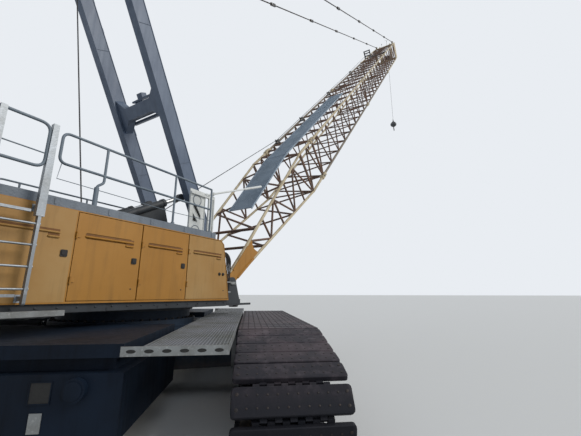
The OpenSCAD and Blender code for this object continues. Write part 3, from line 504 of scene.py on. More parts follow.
# ---- Revolving platform
# A welded box floor on the slewing ring, with girders, winch cheeks and the cheeks of the foot pins,
# in dark grey chassis enamel. Bolted skirts close its sides, and steel pipes run down its nose.
chassis = enamel("dark grey chassis enamel", "#1f2328", "#30353a", "#131212", 0.55, 0.45, 0.5)
dress(chassis, "slewing_platform", "engine_block")
pivot = Vector((1.916, 0, 2.016))
skirt, keepers, pipes, clamps = [], [], [], []
for side in (-1, 1):
    out = side * left
    for k in range(18):
        spot = (-3.25 + k * 0.26, side * 1.71, 1.552)
        skirt.append(turned([(0.014, 0), (0.014, 0.012), (0.009, 0.015)], spot, out, 6))
    for x in (-3.38 + k * 0.93 for k in range(6)):
        skirt.append(box((x, side * 1.71, 1.486), (x + 0.9, side * 1.718, 1.535)))
    keepers.append(box(pivot + Vector((-0.11, side * 1.34, -0.032)),
                       pivot + Vector((0.11, side * 1.354, 0.032))))
    for dx in (-0.085, 0.085):
        spot = (pivot.x + dx, side * 1.354, pivot.z)
        keepers.append(turned([(0.015, 0), (0.015, 0.012), (0.01, 0.016)], spot, out, 6))
    for y in (side * (1.08 + 0.036 * k) for k in range(5)):
        run = ((1.95, 1.63), (1.95, 1.66), (2.29, 1.66), (2.29, 1.43), (2.1, 1.43), (2.1, 1.49))
        pipes.append(tube(rounded([(x, y, z) for x, z in run], 0.06, 5), 0.012))
        pipes.append(turned([(0.019, 0), (0.019, 0.03), (0.013, 0.034)], (1.95, y, 1.612), up, 6))
    for k in range(7):
        y, x = side * (1.345 + 0.012 * (k % 2)), 1.6 + 0.027 * k
        run = [(1.12, side * 1.42, 2.64 - 0.03 * k), (1.34 + 0.02 * k, side * 1.42, 2.80),
               (x - 0.02, side * 1.39, 2.62), (x, y, 2.2), (x, y, 1.64)]
        pipes.append(tube(rounded(run, 0.3, 7), 0.01))
    for z in (1.78, 2.02):
        clamps.append(box((1.585, side * 1.32, z), (1.79, side * 1.376, z + 0.03)))
piece("skirt_bolts", skirt, chassis)
piece("foot_pin_keepers", keepers, bare_zinc)
piece("hydraulic_pipes", pipes, black_rubber_and_hole_shade)
piece("pipe_clamps", clamps, bare_zinc)

# ---- Machinery housings and their doors
# Folded sheet steel in ochre enamel, each door lipped into its opening on two pin hinges, with a
# rubber seal behind its edge, pressed louvres near its top and a black paddle latch let in flush.
ochre = enamel("ochre enamel on sheet steel", "#9d6b18", "#a87629", "#553c16", 0.34, 0.12, 0.4)
sunned_ochre = enamel("ochre enamel chalked by the sun", "#9f7638", "#a98650", "#5c4623", 0.38, 0.12, 0.45)
slit_shade = enamel("ochre enamel in a slit's shade", "#6b4417", "#7d5524", "#33240f", 0.4, 0.1, 0.6)
dress(ochre, "housing_right", "housing_left")
door_edges = (-2.14, -1.06, 0.0, 1.29)
housing_half, housing_low, housing_top = 1.75, 1.62, 2.95


def latch(x, y, z, side):
    """Paddle latch: a dished black escutcheon with its paddle and a key plug."""
    face = y + side * 0.002
    dish = rounded(corners(x - 0.046, z - 0.05, x + 0.046, z + 0.05), 0.018, 3)
    paddle = rounded(corners(x - 0.032, z - 0.025, x + 0.032, z + 0.037), 0.01, 3)
    return [plate(dish, 1, face, side * 0.009), plate(paddle, 1, face + side * 0.008, side * 0.008),
            turned([(0.008, 0), (0.008, 0.012), (0.005, 0.014)], (x, face, z - 0.037), side * left, 14)]


def vents(x0, x1, y, side):
    """A long and a short pressed louvre: half-round hoods, with a dark slit above each."""
    hoods, slits = [], []
    for start, z, rise in ((x0, housing_top - 0.372, 0.031), (x1 - 0.16, housing_top - 0.436, 0.03)):
        rings = []
        for x, swell in ((start, 0.1), (start + 0.012, 0.8), (start + 0.03, 1.0),
                         (x1 - 0.03, 1.0), (x1 - 0.012, 0.8), (x1, 0.1)):
            hood = [(x, y + side * 0.024 * swell * math.sin(a), z - 0.018 * swell * math.cos(a))
                    for a in (0.6, 1.2, 1.8, 2.4, 3.0)]
            back = y - side * 0.004
            rings.append([(x, back, z - 0.018)] + hood + [(x, back, z + 0.018)])
        hoods.append(loft(rings))
        z += rise
        slits.append(box((start + 0.01, y - side * 0.002, z - 0.016),
                         (x1 - 0.01, y + side * 0.003, z + 0.016)))
    return hoods, slits


for side, name in hands:
    y, out = side * housing_half, side * left
    for k in range(3):
        body, last = f"door_{name}_{k + 1}", k == 2
        paint = sunned_ochre if last else ochre
        dress(paint, body)
        low, high = door_edges[k], door_edges[k + 1]
        hoods, slits = vents(low + 0.13, high - (0.31 if last else 0.14), y, side)
        piece(f"{body}_slits", slits, slit_shade, body)
        piece(f"{body}_louvres", hoods, paint, body)
        fittings = [] if last else latch(high - 0.115, y, housing_low + 0.66, side)
        for x in (high - 0.35, high - 0.23) if last else ():
            fittings.append(turned([(0.034, 0), (0.036, 0.006), (0.03, 0.018), (0.016, 0.022), (0.016, 0.03)],
                                   (x, y, housing_low + 0.56), out, 24))
        spot = (high - (0.2 if last else 0.12), y, housing_low + 0.2)
        fittings.append(turned([(0.012, 0), (0.012, 0.006), (0.006, 0.009)], spot, out, 14))
        piece(f"{body}_latch", fittings, black_rubber_and_hole_shade, body)
        back, bottom, top = y - side * 0.037, housing_low + 0.06, housing_top - 0.09
        seal = [box((low + 0.04, back, z0), (x1, back - side * 0.006, z1)) for x1, z0, z1 in (
            (low + 0.052, bottom, top), (high - (0.4 if last else 0.05), top - 0.012, top),
            (high - 0.16, bottom, bottom + 0.012))]
        piece(f"{body}_seal", seal, black_rubber_and_hole_shade, body)
    face = y + side * 0.004
    fixed, slits = vents(-3.16, -2.34, face, side)
    piece(f"fixed_panel_slits_{name}", slits, slit_shade)
    fixed.append(plate(corners(-3.39, housing_low + 0.008, -2.16, housing_top - 0.012), 1, y, side * 0.004))
    piece(f"fixed_panel_{name}", fixed, sunned_ochre)
    fittings = latch(-2.26, face, housing_low + 0.68, side)
    piece(f"fixed_panel_latch_{name}", fittings, black_rubber_and_hole_shade)
    trim = [turned([(0.007, 0), (0.006, 0.004), (0.003, 0.006)],
                   (-3.36, face, housing_low + 0.08 + k * 0.145), out, 10) for k in range(9)]
    trim.append(box((-3.4, y - side * 0.04, housing_low - 0.012),
                    (1.285, y + side * 0.006, housing_low + 0.006)))
    piece(f"housing_trim_{name}", trim, ochre)
    front = []
    rise, ahead = Vector((-0.23, 0, 1.24)).normalized(), Vector((1.24, 0, 0.23)).normalized()
    for k in range(7):
        centre = Vector((1.29, side * 1.4, housing_low)) + rise * (0.35 + 0.07 * k)
        front.append(loft([[centre + dy * left + move for move in (rise * -0.02, ahead * 0.018, rise * 0.01)]
                           for dy in (-0.22, 0.22)]))
    piece(f"front_louvres_{name}", front, ochre)

# ---- Roof decks
# Chequered steel decks with grey toe boards, pressed in raised bars about 30 mm long and dusty.
# Round vents stand on both decks, and an exhaust stack with a bent outlet on the left one.
slate_deck_and_ring_shade = enamel("grey enamel on chequered plate", "#646d77", "#767e87", "#3b3a38", 0.35, 0.25, 0.5)
tree = slate_deck_and_ring_shade.node_tree
cells = add(tree, "TexVoronoi", {"Vector": add(tree, "TexCoord", out="Object"), "Scale": 26.0}, "Distance",
            feature="F1")
tread = bump(tree, ramp(tree, cells, 0.25, 0.45, 1, 0), 0.5, 0.003)
feed(tree, tree.nodes["Principled BSDF"], {"Normal": tread})
dress(slate_deck_and_ring_shade, "roof_decks")
for side, name in hands:
    cowl = [(0.075, 0), (0.075, 0.05), (0.06, 0.07), (0.06, 0.13), (0.085, 0.14), (0.08, 0.17), (0.03, 0.185)]
    gear = [turned(cowl, (x, side * 1.22, housing_top + 0.03), up, 24) for x in (-2.9, -1.2, 0.2)]
    if side > 0:
        stack = [(0.085, 0), (0.085, 0.28), (0.07, 0.3), (0.07, 0.5)]
        gear.append(turned(stack, (-2.75, side * 1.45, housing_top + 0.03), up, 28))
        elbow = [(-2.75, 1.45, 3.4), (-2.75, 1.45, 3.56), (-2.9, 1.45, 3.66)]
        gear.append(tube(rounded(elbow, 0.1, 5), 0.06, 20))
    for x in (-3.25 + 0.78 * k for k in range(6)):
        gear.append(box((x, side * (housing_half - 0.03), housing_top + 0.03),
                        (x + 0.03, side * (housing_half - 0.022), housing_top + 0.12)))
    piece(f"roof_fittings_{name}", gear, slate_deck_and_ring_shade)

# ---- Handrails
# Bent steel tube, 42 mm across, on three posts whose feet stand in thick sockets, with the rear end
# bent round in one piece and a thin wire rail half way down. Grey-blue enamel, chalky and chipped.
rail_paint = enamel("grey-blue enamel on tube", "#5d6a76", "#76818a", "#33332f", 0.3, 0.5, 0.45)
rail_r, rail_top, rail_mid, rail_front = 0.021, 4.1, 3.62, 0.64
for side, name in hands:
    y, foot = side * 1.66, housing_top + 0.031
    rear = -2.48 if side < 0 else -2.2
    loop = rounded([(x, y, z) for x, z in ((rail_front, rail_mid), (rear, rail_mid),
                                           (rear, rail_top), (rail_front, rail_top))], 0.11, 8)
    bent = [(-1.9, y, foot), (-1.9, y, 3.42), (-1.8, y, 3.5), (-1.8, y, rail_top)]
    parts = [tube([(rail_front, y, rail_mid)] + loop[9:27] + [(rail_front, y, rail_top)], rail_r, 14),
             tube([(rail_front, y, foot), (rail_front, y, rail_top)], rail_r, 14),
             tube(rounded(bent, 0.04), rail_r, 14),
             tube([(-0.38, y, foot), (-0.38, y, rail_top)], rail_r, 14),
             tube([(rear + 0.04, y, rail_mid), (rear + 0.01, y, 3.37), (-1.9, y, 3.36), (-0.38, y, 3.33),
                   (rail_front, y, 3.36)], 0.006, 8)]
    for x, high in ((-1.9, 0.42), (-0.38, 0.15), (rail_front, 0.15)):
        socket = [(0.036, 0), (0.036, high - 0.01), (0.031, high), (0.022, high + 0.002)]
        parts += [turned(socket, (x, y, foot), up, 20),
                  pin(0.007, 0, 0.03, (x, y - 0.05, foot + 0.1), left, 8),
                  box((x - 0.06, y - 0.04, foot - 0.002), (x + 0.06, y + 0.04, foot + 0.01))]
    piece(f"handrail_{name}", parts, rail_paint, replaced=f"handrails_{name}")

# ---- Ladder
# Two flat aluminium stiles with round rungs, carried off the housing on flat brackets, with wide
# tapered plates above and a guard loop of bent tube. The step beam under it is a galvanised channel.
pale_metal = rough_steel("aged aluminium", "#979da3", "#85898b", "#b9bec3", 3.0, 0.55, 0.42)
ladder_y, ladder_top = -1.93, 4.04
parts = []
for x in (-3.28, -2.70):
    parts.append(plate(rounded(corners(ladder_y - 0.035, 1.6, ladder_y + 0.035, ladder_top), 0.03),
                       0, x - 0.018, 0.036))
    for z in (1.65, 2.83):
        parts.append(box((x - 0.01, ladder_y, z), (x + 0.01, -1.7505, z + 0.06)))
        parts.append(box((x - 0.03, -1.76, z - 0.02), (x + 0.03, -1.7505, z + 0.08)))
    upper = [(x - 0.048, 2.72), (x + 0.048, 2.72), (x + 0.036, 4.03), (x - 0.036, 4.03)]
    parts.append(plate(upper, 1, ladder_y - 0.04, 0.08))
for z in (1.795, 2.07, 2.345, 2.62):
    parts.append(tube([(-3.31, ladder_y, z), (-2.67, ladder_y, z)], 0.015, 12))
    parts += [pin(0.022, -0.004, 0.004, (x, ladder_y, z), (1, 0, 0), 14) for x in (-3.306, -2.674)]
for z in (1.70, 2.76):
    parts.append(box((-3.27, ladder_y - 0.02, z), (-2.8, ladder_y + 0.02, z + 0.035)))
piece("ladder_rungs", parts, pale_metal, replaced="ladder")
guard = [(x, ladder_y, z) for x, z in ((-2.75, 4.01), (-3.44, 4.01), (-3.44, 3.38), (-2.75, 3.38))]
parts = [tube(rounded(guard, 0.13, 8), rail_r, 14, True),
         tube([(-3.44, ladder_y, 3.6), (-2.71, ladder_y, 3.58)], 0.009)]
piece("ladder_guard", parts, rail_paint, replaced="ladder")
channel = [(-1.955, 1.46), (-1.885, 1.46), (-1.885, 1.466), (-1.949, 1.466),
           (-1.949, 1.524), (-1.885, 1.524), (-1.885, 1.53), (-1.955, 1.53)]
parts = [plate(channel, 0, -3.32, 1.1)]
parts += [box((x, -1.89, 1.48), (x + 0.04, -1.7, 1.52)) for x in (-2.9, -2.4)]
piece("step_beam", parts, bare_zinc, replaced="ladder")

# ---- Folded access platform
# A white pressed panel, lightened by round holes and a slanting slot, folded up on its hinge against
# three stanchions, with its black spring latch at the foot and a pale stowed pole clamped on top.
white_paint = enamel("white enamel on pressed steel", "#d9dcda", "#c6c8c4", "#7d7a72", 0.4, 0.3, 0.45)
dress(white_paint, "folded_platform")
panel = Vector((0.3, -1.33, 2.9803))


def on_panel(x, y, z):
    return panel + Vector((x, y, z))


rims, rings = [], []
for z in (0.165, 0.88):
    spot = on_panel(0.215, -0.0125, z)
    rims.append(turned([(0.115, 0.0), (0.115, 0.003), (0.1, 0.005)], spot, -left))
    rings.append(tube([spot + 0.118 * heading(a) for a in around(32)], 0.011, 8, True))
for slot in ([(0.11, 0.79), (0.17, 0.79), (0.35, 0.54), (0.35, 0.43), (0.11, 0.7)],
             [(0.11, 0.57), (0.11, 0.37), (0.27, 0.37)]):
    rims.append(tube(rounded([on_panel(x, -0.013, z) for x, z in slot], 0.02, 3), 0.007, 8, True))
for x in (0.006, 0.454):
    rims.append(box(on_panel(x - 0.006, -0.03, 0.08), on_panel(x + 0.006, -0.012, 0.99)))
for x in (0.56, 0.64, 0.72):
    rims.append(turned([(0.026, 0), (0.026, 0.05), (0.018, 0.055)], on_panel(x, -0.04, 0), up, 16))
# The rings round the holes take the decks' grey, not the panel's white: painted shade at each hole's edge.
piece("folded_platform_rings", rings, slate_deck_and_ring_shade)
piece("folded_platform_rims", rims, white_paint)
# The first block is a black sheet on the panel's back behind the slots: painted shade seen through them.
fixings = [box(on_panel(0.1, 0.0125, 0.36), on_panel(0.37, 0.016, 0.8)),
           box(on_panel(0.42, -0.1, -0.004), on_panel(0.62, -0.06, 0.1)),
           turned([(0.03, 0), (0.03, 0.16), (0.02, 0.17), (0.02, 0.2)], on_panel(0.5, -0.085, 0), up, 20),
           pin(0.012, -0.25, 0.3, on_panel(0.25, -0.03, 0.02), (1, 0, 0), 12)]
piece("folded_platform_latch_and_slot_shade", fixings, black_rubber_and_hole_shade)
pole = [tube([(0.74, -1.372, 4.04), (2.2, -1.372, 4.62)], 0.024, 12),
        tube([(2.18, -1.372, 4.613), (2.98, -1.372, 4.93)], 0.034, 14),
        tube([(1.0, -1.36, 4.14), (0.98, -1.36, 3.02)], 0.014)]
pole += [box((x - 0.02, -1.4, z - 0.03), (x + 0.02, -1.34, z + 0.03))
         for x, z in ((0.78, 4.055), (1.0, 4.143))]
piece("stowed_pole", pole, white_paint)

# ---- Erecting cylinders
# Hydraulic cylinders that lift the A-frame at set-up, on web plates: honed tube with a screwed gland,
# a hard chrome rod, and forged eyes. The barrels share the chassis enamel.
chrome = rough_steel("hard chrome on a rod", "#c3c6c8", "#a9a9a6", "#dedfdf", 1.2, 1.0, 0.16)
lean = math.radians(62.7)
leg_along, leg_out = heading(math.pi - lean), heading(math.pi / 2 - lean)
leg_length = 9.6
head_pin = pivot + leg_length * leg_along
web = [(-0.15, 1.62), (0.25, 1.62), (0.3, 2.8), (0.36, 3.3), (0.2, 3.78), (-0.75, 3.27), (-1.5, 2.86),
       (-1.5, 2.8), (-0.2, 2.75)]
for side, name in hands:
    y = side * 0.6
    foot_at = Vector((-2.55, y, 2.3297))
    eye_at = pivot + 2.412 * leg_along - 0.19 * leg_out + y * left
    run = eye_at - foot_at
    length, along = run.length, run.normalized()
    barrel = [turned([(0.06, 0.07), (0.085, 0.1), (0.085, 0.84 * length), (0.097, 0.84 * length),
                      (0.097, 0.86 * length), (0.07, 0.865 * length)], foot_at, run),
              pin(0.11, -0.06, 0.06, foot_at, left),
              box((foot_at.x - 0.11, y - 0.05, 1.62), (foot_at.x + 0.11, y + 0.05, 2.26)),
              plate(rounded(web, 0.04, 3), 1, y - 0.012, 0.024)]
    for u in (0.52, 1.6):
        barrel.append(tube([foot_at + along * u + 0.08 * up, foot_at + along * (u + 0.03) + 0.13 * up], 0.02))
    piece(f"cylinder_barrel_{name}", barrel, chassis, replaced="erecting_cylinders")
    rod = pin(0.05, 0.85 * length, length - 0.09, foot_at, run)
    piece(f"cylinder_rod_{name}", [rod], chrome, replaced="erecting_cylinders")
    ends = [turned([(0.07, 0.945 * length), (0.075, 0.97 * length), (0.06, length - 0.05)], foot_at, run, 24),
            pin(0.09, -0.055, 0.055, eye_at, left)]
    piece(f"cylinder_eye_{name}", ends, chassis, replaced="erecting_cylinders")

# ---- Operator's cab
# A pressed steel shell in the housings' ochre, with toughened glass bonded in black rubber, a sliding
# door on two rails, a sprung seat between two consoles, and lamps, a mirror and a wiper outside.
dress(ochre, "cab", "cab_door")
cab_rear, cab_floor, cab_top, cab_in, cab_out, door_face = 1.49, 1.56, 3.71, 1.56, 2.61, 2.665
tinted, tree, shader = new_paint("tinted safety glass")
film = noise(tree, add(tree, "TexCoord", out="Object"), 3, 7, 0.7)
feed(tree, shader, {"Base Color": "#b9cdd0", "Transmission Weight": 0.92, "IOR": 1.5,
                    "Roughness": ramp(tree, film, 0.4, 0.75, 0.02, 0.22)})
dress(tinted, "cab_glass")
side_window = corners(1.62, 2.46, 2.49, 3.51)
front_window = [(2.58, 2.46), (3.31, 2.46), (3.28, 3.04), (3.07, 3.51), (2.58, 3.51)]
door_window = [(2.50, 2.34), (3.18, 2.34), (3.18, 2.90), (3.05, 3.53), (2.50, 3.53)]
windscreen = [(3.447, 1.67, 2.16), (3.447, 2.5, 2.16), (3.389, 2.5, 3.06), (3.226, 2.5, 3.45),
              (3.226, 1.67, 3.45), (3.389, 1.67, 3.06)]


def bead(points, radius=0.014):
    """Rubber bead round a pane."""
    return tube(rounded(points, 0.05), radius, 8, True)


def side_bead(window, y, radius=0.014):
    return bead([(x, y, z) for x, z in window], radius)


beads = [side_bead(side_window, cab_in - 0.002), side_bead(front_window, cab_in - 0.002),
         side_bead(side_window, cab_out, 0.008), bead(windscreen),
         bead([(cab_rear - 0.002, y, z) for y, z in corners(1.69, 2.56, 2.48, 3.46)]),
         box((1.6, cab_in - 0.01, 1.6), (3.2, cab_in + 0.004, 1.63))]
piece("window_beads", beads, black_rubber_and_hole_shade)
door_bead = side_bead(door_window, door_face + 0.001, 0.012)
piece("door_bead", [door_bead], black_rubber_and_hole_shade, "cab_door")
pane = [(x + (0.006 if x < 2.6 else -0.006), z) for x, z in door_window]
piece("door_glass", [plate(pane, 1, 2.64, 0.006)], tinted, "cab_door")
grip = [(2.46, door_face + dy, z) for dy, z in ((0, 2.5), (0.05, 2.5), (0.05, 2.74), (0, 2.74))]
lock = [(0.014, 0), (0.014, 0.014), (0.008, 0.017)]
handle = [tube(rounded(grip, 0.03), 0.011), box((2.43, door_face, 2.2), (2.49, door_face + 0.012, 2.3)),
          turned(lock, (2.46, door_face + 0.012, 2.25), left, 16)]
piece("door_handle", handle, black_rubber_and_hole_shade, "cab_door")
outside, lenses = [], []
for y in (1.72, 2.08, 2.44):
    outside.append(turned([(0.02, 0), (0.075, 0.03), (0.085, 0.08), (0.085, 0.1), (0.07, 0.1)],
                          (3.02, y, cab_top + 0.075), (1, 0, -0.1), 24))
    outside.append(tube([(3.05, y, cab_top - 0.002), (3.05, y, cab_top + 0.05)], 0.012, 8))
    lenses.append(turned([(0.07, 0), (0.05, 0.008), (0.0, 0.011)],
                         (3.12, y, cab_top + 0.066), (1, 0, -0.1), 24))
roof_rail = [(x, cab_in + 0.06, cab_top + z) for x, z in ((1.7, 0), (1.7, 0.09), (2.7, 0.09), (2.7, 0))]
side_rail = [(x, cab_out + dy, z)
             for x, dy, z in ((3.3, 0, 2.35), (3.38, 0.06, 2.35), (3.38, 0.06, 3.2), (3.25, 0, 3.2))]
outside += [tube(rounded(roof_rail, 0.05), 0.014), tube(rounded(side_rail, 0.05), 0.013),
            tube([(3.45, 2.05, 2.12), (3.437, 2.18, 2.6), (3.418, 2.28, 2.92)], 0.008, 8),
            box((3.436, 2.0, 2.08), (3.46, 2.1, 2.14)),
            tube([(2.3, cab_out - 0.1, cab_top), (2.3, cab_out - 0.1, cab_top + 0.08)], 0.03, 14)]
piece("cab_lamps_and_grips", outside, black_rubber_and_hole_shade)
piece("lamp_lenses", lenses, tinted)
edge = rounded(corners(-0.015, -0.13, 0.115, 0.13), 0.03, 3)
mirror = loft([[(3.33 - 0.016 * t, 2.655 + dy * (1 - 0.12 * t), 2.93 + dz * (1 - 0.1 * t)) for dy, dz in edge]
               for t in (0, 1, 2)])
piece("cab_mirror", [mirror], black_rubber_and_hole_shade)

# ---- Operator's seat
# Foam cushions under hard-wearing woven cloth with piped edges and two sewn channels, on a ribbed
# rubber bellows, with moulded consoles and levers at both sides. Yarns of 4 mm, so that they show.
cloth, tree, shader = new_paint("charcoal woven seat cloth")
place = add(tree, "TexCoord", out="Object")
yarn = {"Vector": place, "Scale": 40.0, "Distortion": 0.4}
warp, weft = (add(tree, "TexWave", yarn, "Fac", bands_direction=way) for way in "YX")
weave = add(tree, "Math", {0: warp, 1: weft}, operation="MULTIPLY")
tone = mixed(tree, weave, "#1d1d20", "#3a3a3f")
feed(tree, shader, {"Base Color": mixed(tree, noise(tree, place, 6, 5), tone, "#2c2b2c"),
                    "Roughness": 0.9, "Sheen Weight": 0.3, "Normal": bump(tree, weave, 0.5, 0.001)})


def cushion(wide, deep, thick, cells=24):
    """Crowned pad on its back face z = 0: sides drawn in between the corners, two channels sewn along it."""
    verts, faces = [], []
    row = cells + 1
    for top, i, j in ((top, i, j) for top in (0, 1) for i in range(row) for j in range(row)):
        u, v = 2 * i / cells - 1, 2 * j / cells - 1
        x = u * wide / 2 * (1 - 0.035 * (1 - v * v) * abs(u))
        y = v * deep / 2 * (1 - 0.035 * (1 - u * u) * abs(v))
        crown = ((1 - u ** 6) * (1 - v ** 6)) ** 0.35
        seam = math.exp(-((abs(u) - 0.42) / 0.045) ** 2) * (1 - v ** 8)
        z = thick * (0.35 + 0.65 * crown - 0.13 * seam) if top else thick * 0.1 * (1 - crown)
        verts.append(Vector((x, y, z)))
    for a in (i * row + j for i in range(cells) for j in range(cells)):
        faces.append((a, a + 1, a + row + 1, a + row))
        a += row * row
        faces.append((a, a + row, a + row + 1, a + 1))
    rim = [i * row for i in range(row)] + [cells * row + j for j in range(1, row)]
    rim += [i * row + cells for i in range(cells - 1, -1, -1)] + list(range(cells - 1, 0, -1))
    faces += [(a, b, b + row * row, a + row * row) for a, b in zip(rim, rim[1:] + rim[:1])]
    return verts, faces


seat = Vector((cab_rear + 0.5, (cab_in + cab_out) / 2, cab_floor))
quarter = Matrix.Rotation(math.pi / 2, 4, "Z")
bottom = Matrix.Translation(seat + Vector((0.2, 0, 0.425))) @ quarter
tilt = Matrix.Rotation(math.radians(82), 4, "Y")
rest = Matrix.Translation(seat + Vector((-0.115, 0, 0.83))) @ tilt @ quarter
for name, pad, place in (("cushion", (0.5, 0.5, 0.11), bottom), ("back", (0.46, 0.64, 0.1), rest)):
    padding = piece(f"seat_{name}", [moved(cushion(*pad), place)], cloth, replaced="cab_seat")
welts = []
for wide, deep, place in ((0.25, 0.25, bottom), (0.23, 0.32, rest)):
    welt = rounded([(x, y, 0.03) for x, y in corners(-wide, -deep, wide, deep)], 0.04)
    welts.append(moved(tube(welt, 0.006, 8, True), place))
piece("seat_piping", welts, cloth, replaced="cab_seat")


def by_seat(x, y, z):
    return seat + Vector((x, y, z))


base = [turned([(0.12 + 0.012 * (k % 2), 0.09 + 0.022 * k) for k in range(14)], by_seat(0.18, 0, 0), up, 28),
        box(by_seat(0.02, -0.13, 0.05), by_seat(0.34, 0.13, 0.1)),
        tube([by_seat(0.95, -0.3, 0.05), by_seat(0.95, -0.3, 0.85)], 0.02)]
knob = [(0.035, -0.01), (0.028, 0.02), (0.012, 0.05), (0.012, 0.1), (0.02, 0.115),
        (0.024, 0.16), (0.018, 0.19)]
console = rounded([(0.06, 0.05), (0.44, 0.05), (0.48, 0.62), (0.4, 0.68), (0.06, 0.64)], 0.04)
for y in (-0.33, 0.33):
    base.append(loft([[by_seat(x, y + dy, z) for x, z in console] for dy in (-0.05, 0.05)]))
    base.append(turned(knob, by_seat(0.4, y, 0.67), up, 18))
screen = rounded(corners(-0.42, 0.78, -0.18, 0.96), 0.02, 3)
base.append(loft([[by_seat(x, y, z) for y, z in screen] for x in (0.92, 0.95)]))
piece("seat_base_and_consoles", base, black_rubber_and_hole_shade, replaced="cab_seat")

# ---- Counterweight
# A welded tray hooked to the tail with two stacks of cast slabs on it, kept in place by tie bars and
# lifted by pins set in pockets at their ends. Grey enamel over rough castings, chipped at the edges.
slab_paint = enamel("grey enamel on cast slabs", "#565d63", "#6c7276", "#2c2a27", 0.55, 0.6, 0.5)
dress(slab_paint, "counterweight_slabs")
# The tray takes the ballast's navy, darkened as painted shade.
dress(shaded_and_stained_navy, "counterweight_tray")
tail_x, stack_x, slab_mid, slab_step = -5.48, -3.57, 1.73, 0.3003
pins, ties, seams, lugs = [], [], [], []
for side in (-1, 1):
    middle = side * slab_mid
    for x, out in ((tail_x, -1), (stack_x, 1)):
        pins += [pin(0.022, -0.132, 0.132, (x - out * 0.03, middle, 1.9503 + slab_step * k), left, 16)
                 for k in range(6)]
        for y in (middle - 0.42, middle + 0.42):
            ties.append(box((x, y - 0.03, 1.70), (x + out * 0.012, y + 0.03, 3.58)))
            ties += [pin(0.014, 0, 0.006, (x + out * 0.012, y, z), (out, 0, 0), 6)
                     for z in (1.76, 2.36, 2.96, 3.5)]
    for z in (1.8 + slab_step * k for k in range(1, 6)):
        seams.append(box((tail_x - 0.004, side * 1.056, z - 0.006),
                         (stack_x + 0.004, side * 2.404, z + 0.006)))
    for x in (-5.1, -4.0):
        lug = [(x - 0.09, 3.6), (x - 0.06, 3.66), (x + 0.06, 3.66), (x + 0.09, 3.6)]
        lugs += [plate(lug, 1, middle - 0.02, 0.04), pin(0.028, -0.03, 0.03, (x, middle, 3.632), left, 14)]
piece("slab_seams", seams, greasy)
piece("slab_pins", pins, bare_zinc)
# Tie bars and lifting lugs take the ballast's navy, darkened as painted shade.
piece("slab_tie_bars", ties, shaded_and_stained_navy)
piece("slab_lifting_lugs", lugs, shaded_and_stained_navy)

# ---- Winch drums
# Welded drums with flanges, in grey enamel, each wound with two layers of 26 mm steel wire rope:
# bright crowns of strands, at a slant and about 12 mm apart, under black grease.
drum_paint = enamel("grey enamel on a winch drum", "#4a5056", "#5c6368", "#1d1b19", 0.5, 0.4, 0.45)
wire_rope, tree, shader = new_paint("greased steel wire rope")
place = add(tree, "TexCoord", out="Object")
strands = add(tree, "TexWave", {"Vector": place, "Scale": 12.0, "Distortion": 0.5, "Detail": 1.0}, "Fac",
              bands_direction="DIAGONAL")
tone = mixed(tree, strands, "#1b1a1a", "#5d6064")
feed(tree, shader, {"Base Color": mixed(tree, noise(tree, place, 7, 4), tone, "#262423"), "Metallic": 0.6,
                    "Roughness": 0.45, "Normal": bump(tree, strands, 0.6, 0.003)})
rope_r = 0.013
flange = [(0.12, 0.462), (0.37, 0.468), (0.38, 0.474), (0.38, 0.506), (0.37, 0.51), (0.28, 0.502),
          (0.2, 0.502), (0.14, 0.52), (0.12, 0.54), (0.065, 0.54)]
wound = [(0.2, -0.46)]
for h in (-0.455 + rope_r + k * 2 * rope_r for k in range(35)):
    wound += [(0.23 + rope_r * 3 + rope_r * math.sin(a), h - rope_r * math.cos(a))
              for a in (0.15, 0.8, 1.57, 2.34, 2.99)]
wound.append((0.2, 0.46))
for body, x in (("hoist_drum_front", 0.7), ("hoist_drum_rear", -0.6), ("luffing_drum", -1.9)):
    centre = Vector((x, 0, 2.33))
    drum = [pin(0.06, -0.59, 0.59, centre, left)]
    for side in (-1, 1):
        drum.append(turned(flange, centre, side * left, 48))
        drum += [pin(0.012, 0, 0.018, centre + 0.1 * heading(a) + side * 0.528 * left, side * left, 6)
                 for a in around(8)]
    piece(f"{body}_flanges", drum, drum_paint, body, body)
    piece(f"{body}_wound_rope", [turned(wound, centre, left, 40)], wire_rope, body, body)

# ---- A-frame
# Two box legs in slate enamel with flange plates along their edges, joined by a gusseted cross beam
# and a head beam. Steel pipes are clipped along one leg; a rope guide stands above the cross beam.
slate = enamel("slate enamel on box legs", "#46556b", "#5f6c7e", "#34373a", 0.3, 0.4, 0.45)
dress(slate, "a_frame")


def on_leg(u, y, w):
    """Point of the A-frame: u up the legs, w forward of them."""
    return pivot + u * leg_along + w * leg_out + y * left


def leg_box(u0, u1, y0, y1, w0, w1):
    return loft([[on_leg(u, y, w) for y, w in corners(y0, w0, y1, w1)] for u in (u0, u1)])


flanges, pins = [], []
for side in (-1, 1):
    y, out = side * 0.815, side * left
    flanges += [leg_box(0.85, 9.08, y - 0.104, y + 0.104, w, w + 0.012) for w in (-0.181, 0.169)]
    flanges += [leg_box(u, u + 0.012, y + face * 0.089, y + face * 0.1, -0.169, 0.169)
                for u in (1.6, 3.2, 6.4, 7.9) for face in (-1, 1)]
    flanges.append(leg_box(4.25, 4.45, y - 0.06, y + 0.06, 0.18, 0.23))
    pins.append(turned([(0.085, 0), (0.085, 0.012), (0.05, 0.02)],
                       on_leg(leg_length, side * 1.015, 0), out, 28))
    pins += [pin(0.011, 0, 0.01, on_leg(leg_length + 0.05 * math.cos(a), side * 1.027, 0.05 * math.sin(a)),
                 out, 6) for a in around(3)]
    pins += [leg_box(u, u + 0.12, y - 0.015, y + 0.015, 0.18, 0.26) for u in (6.9, 7.6)]
leg_pipes = [tube([on_leg(0.9, y, 0.2), on_leg(4.5, y, 0.2)], 0.01, 8) for y in (-0.78, -0.81, -0.84)]
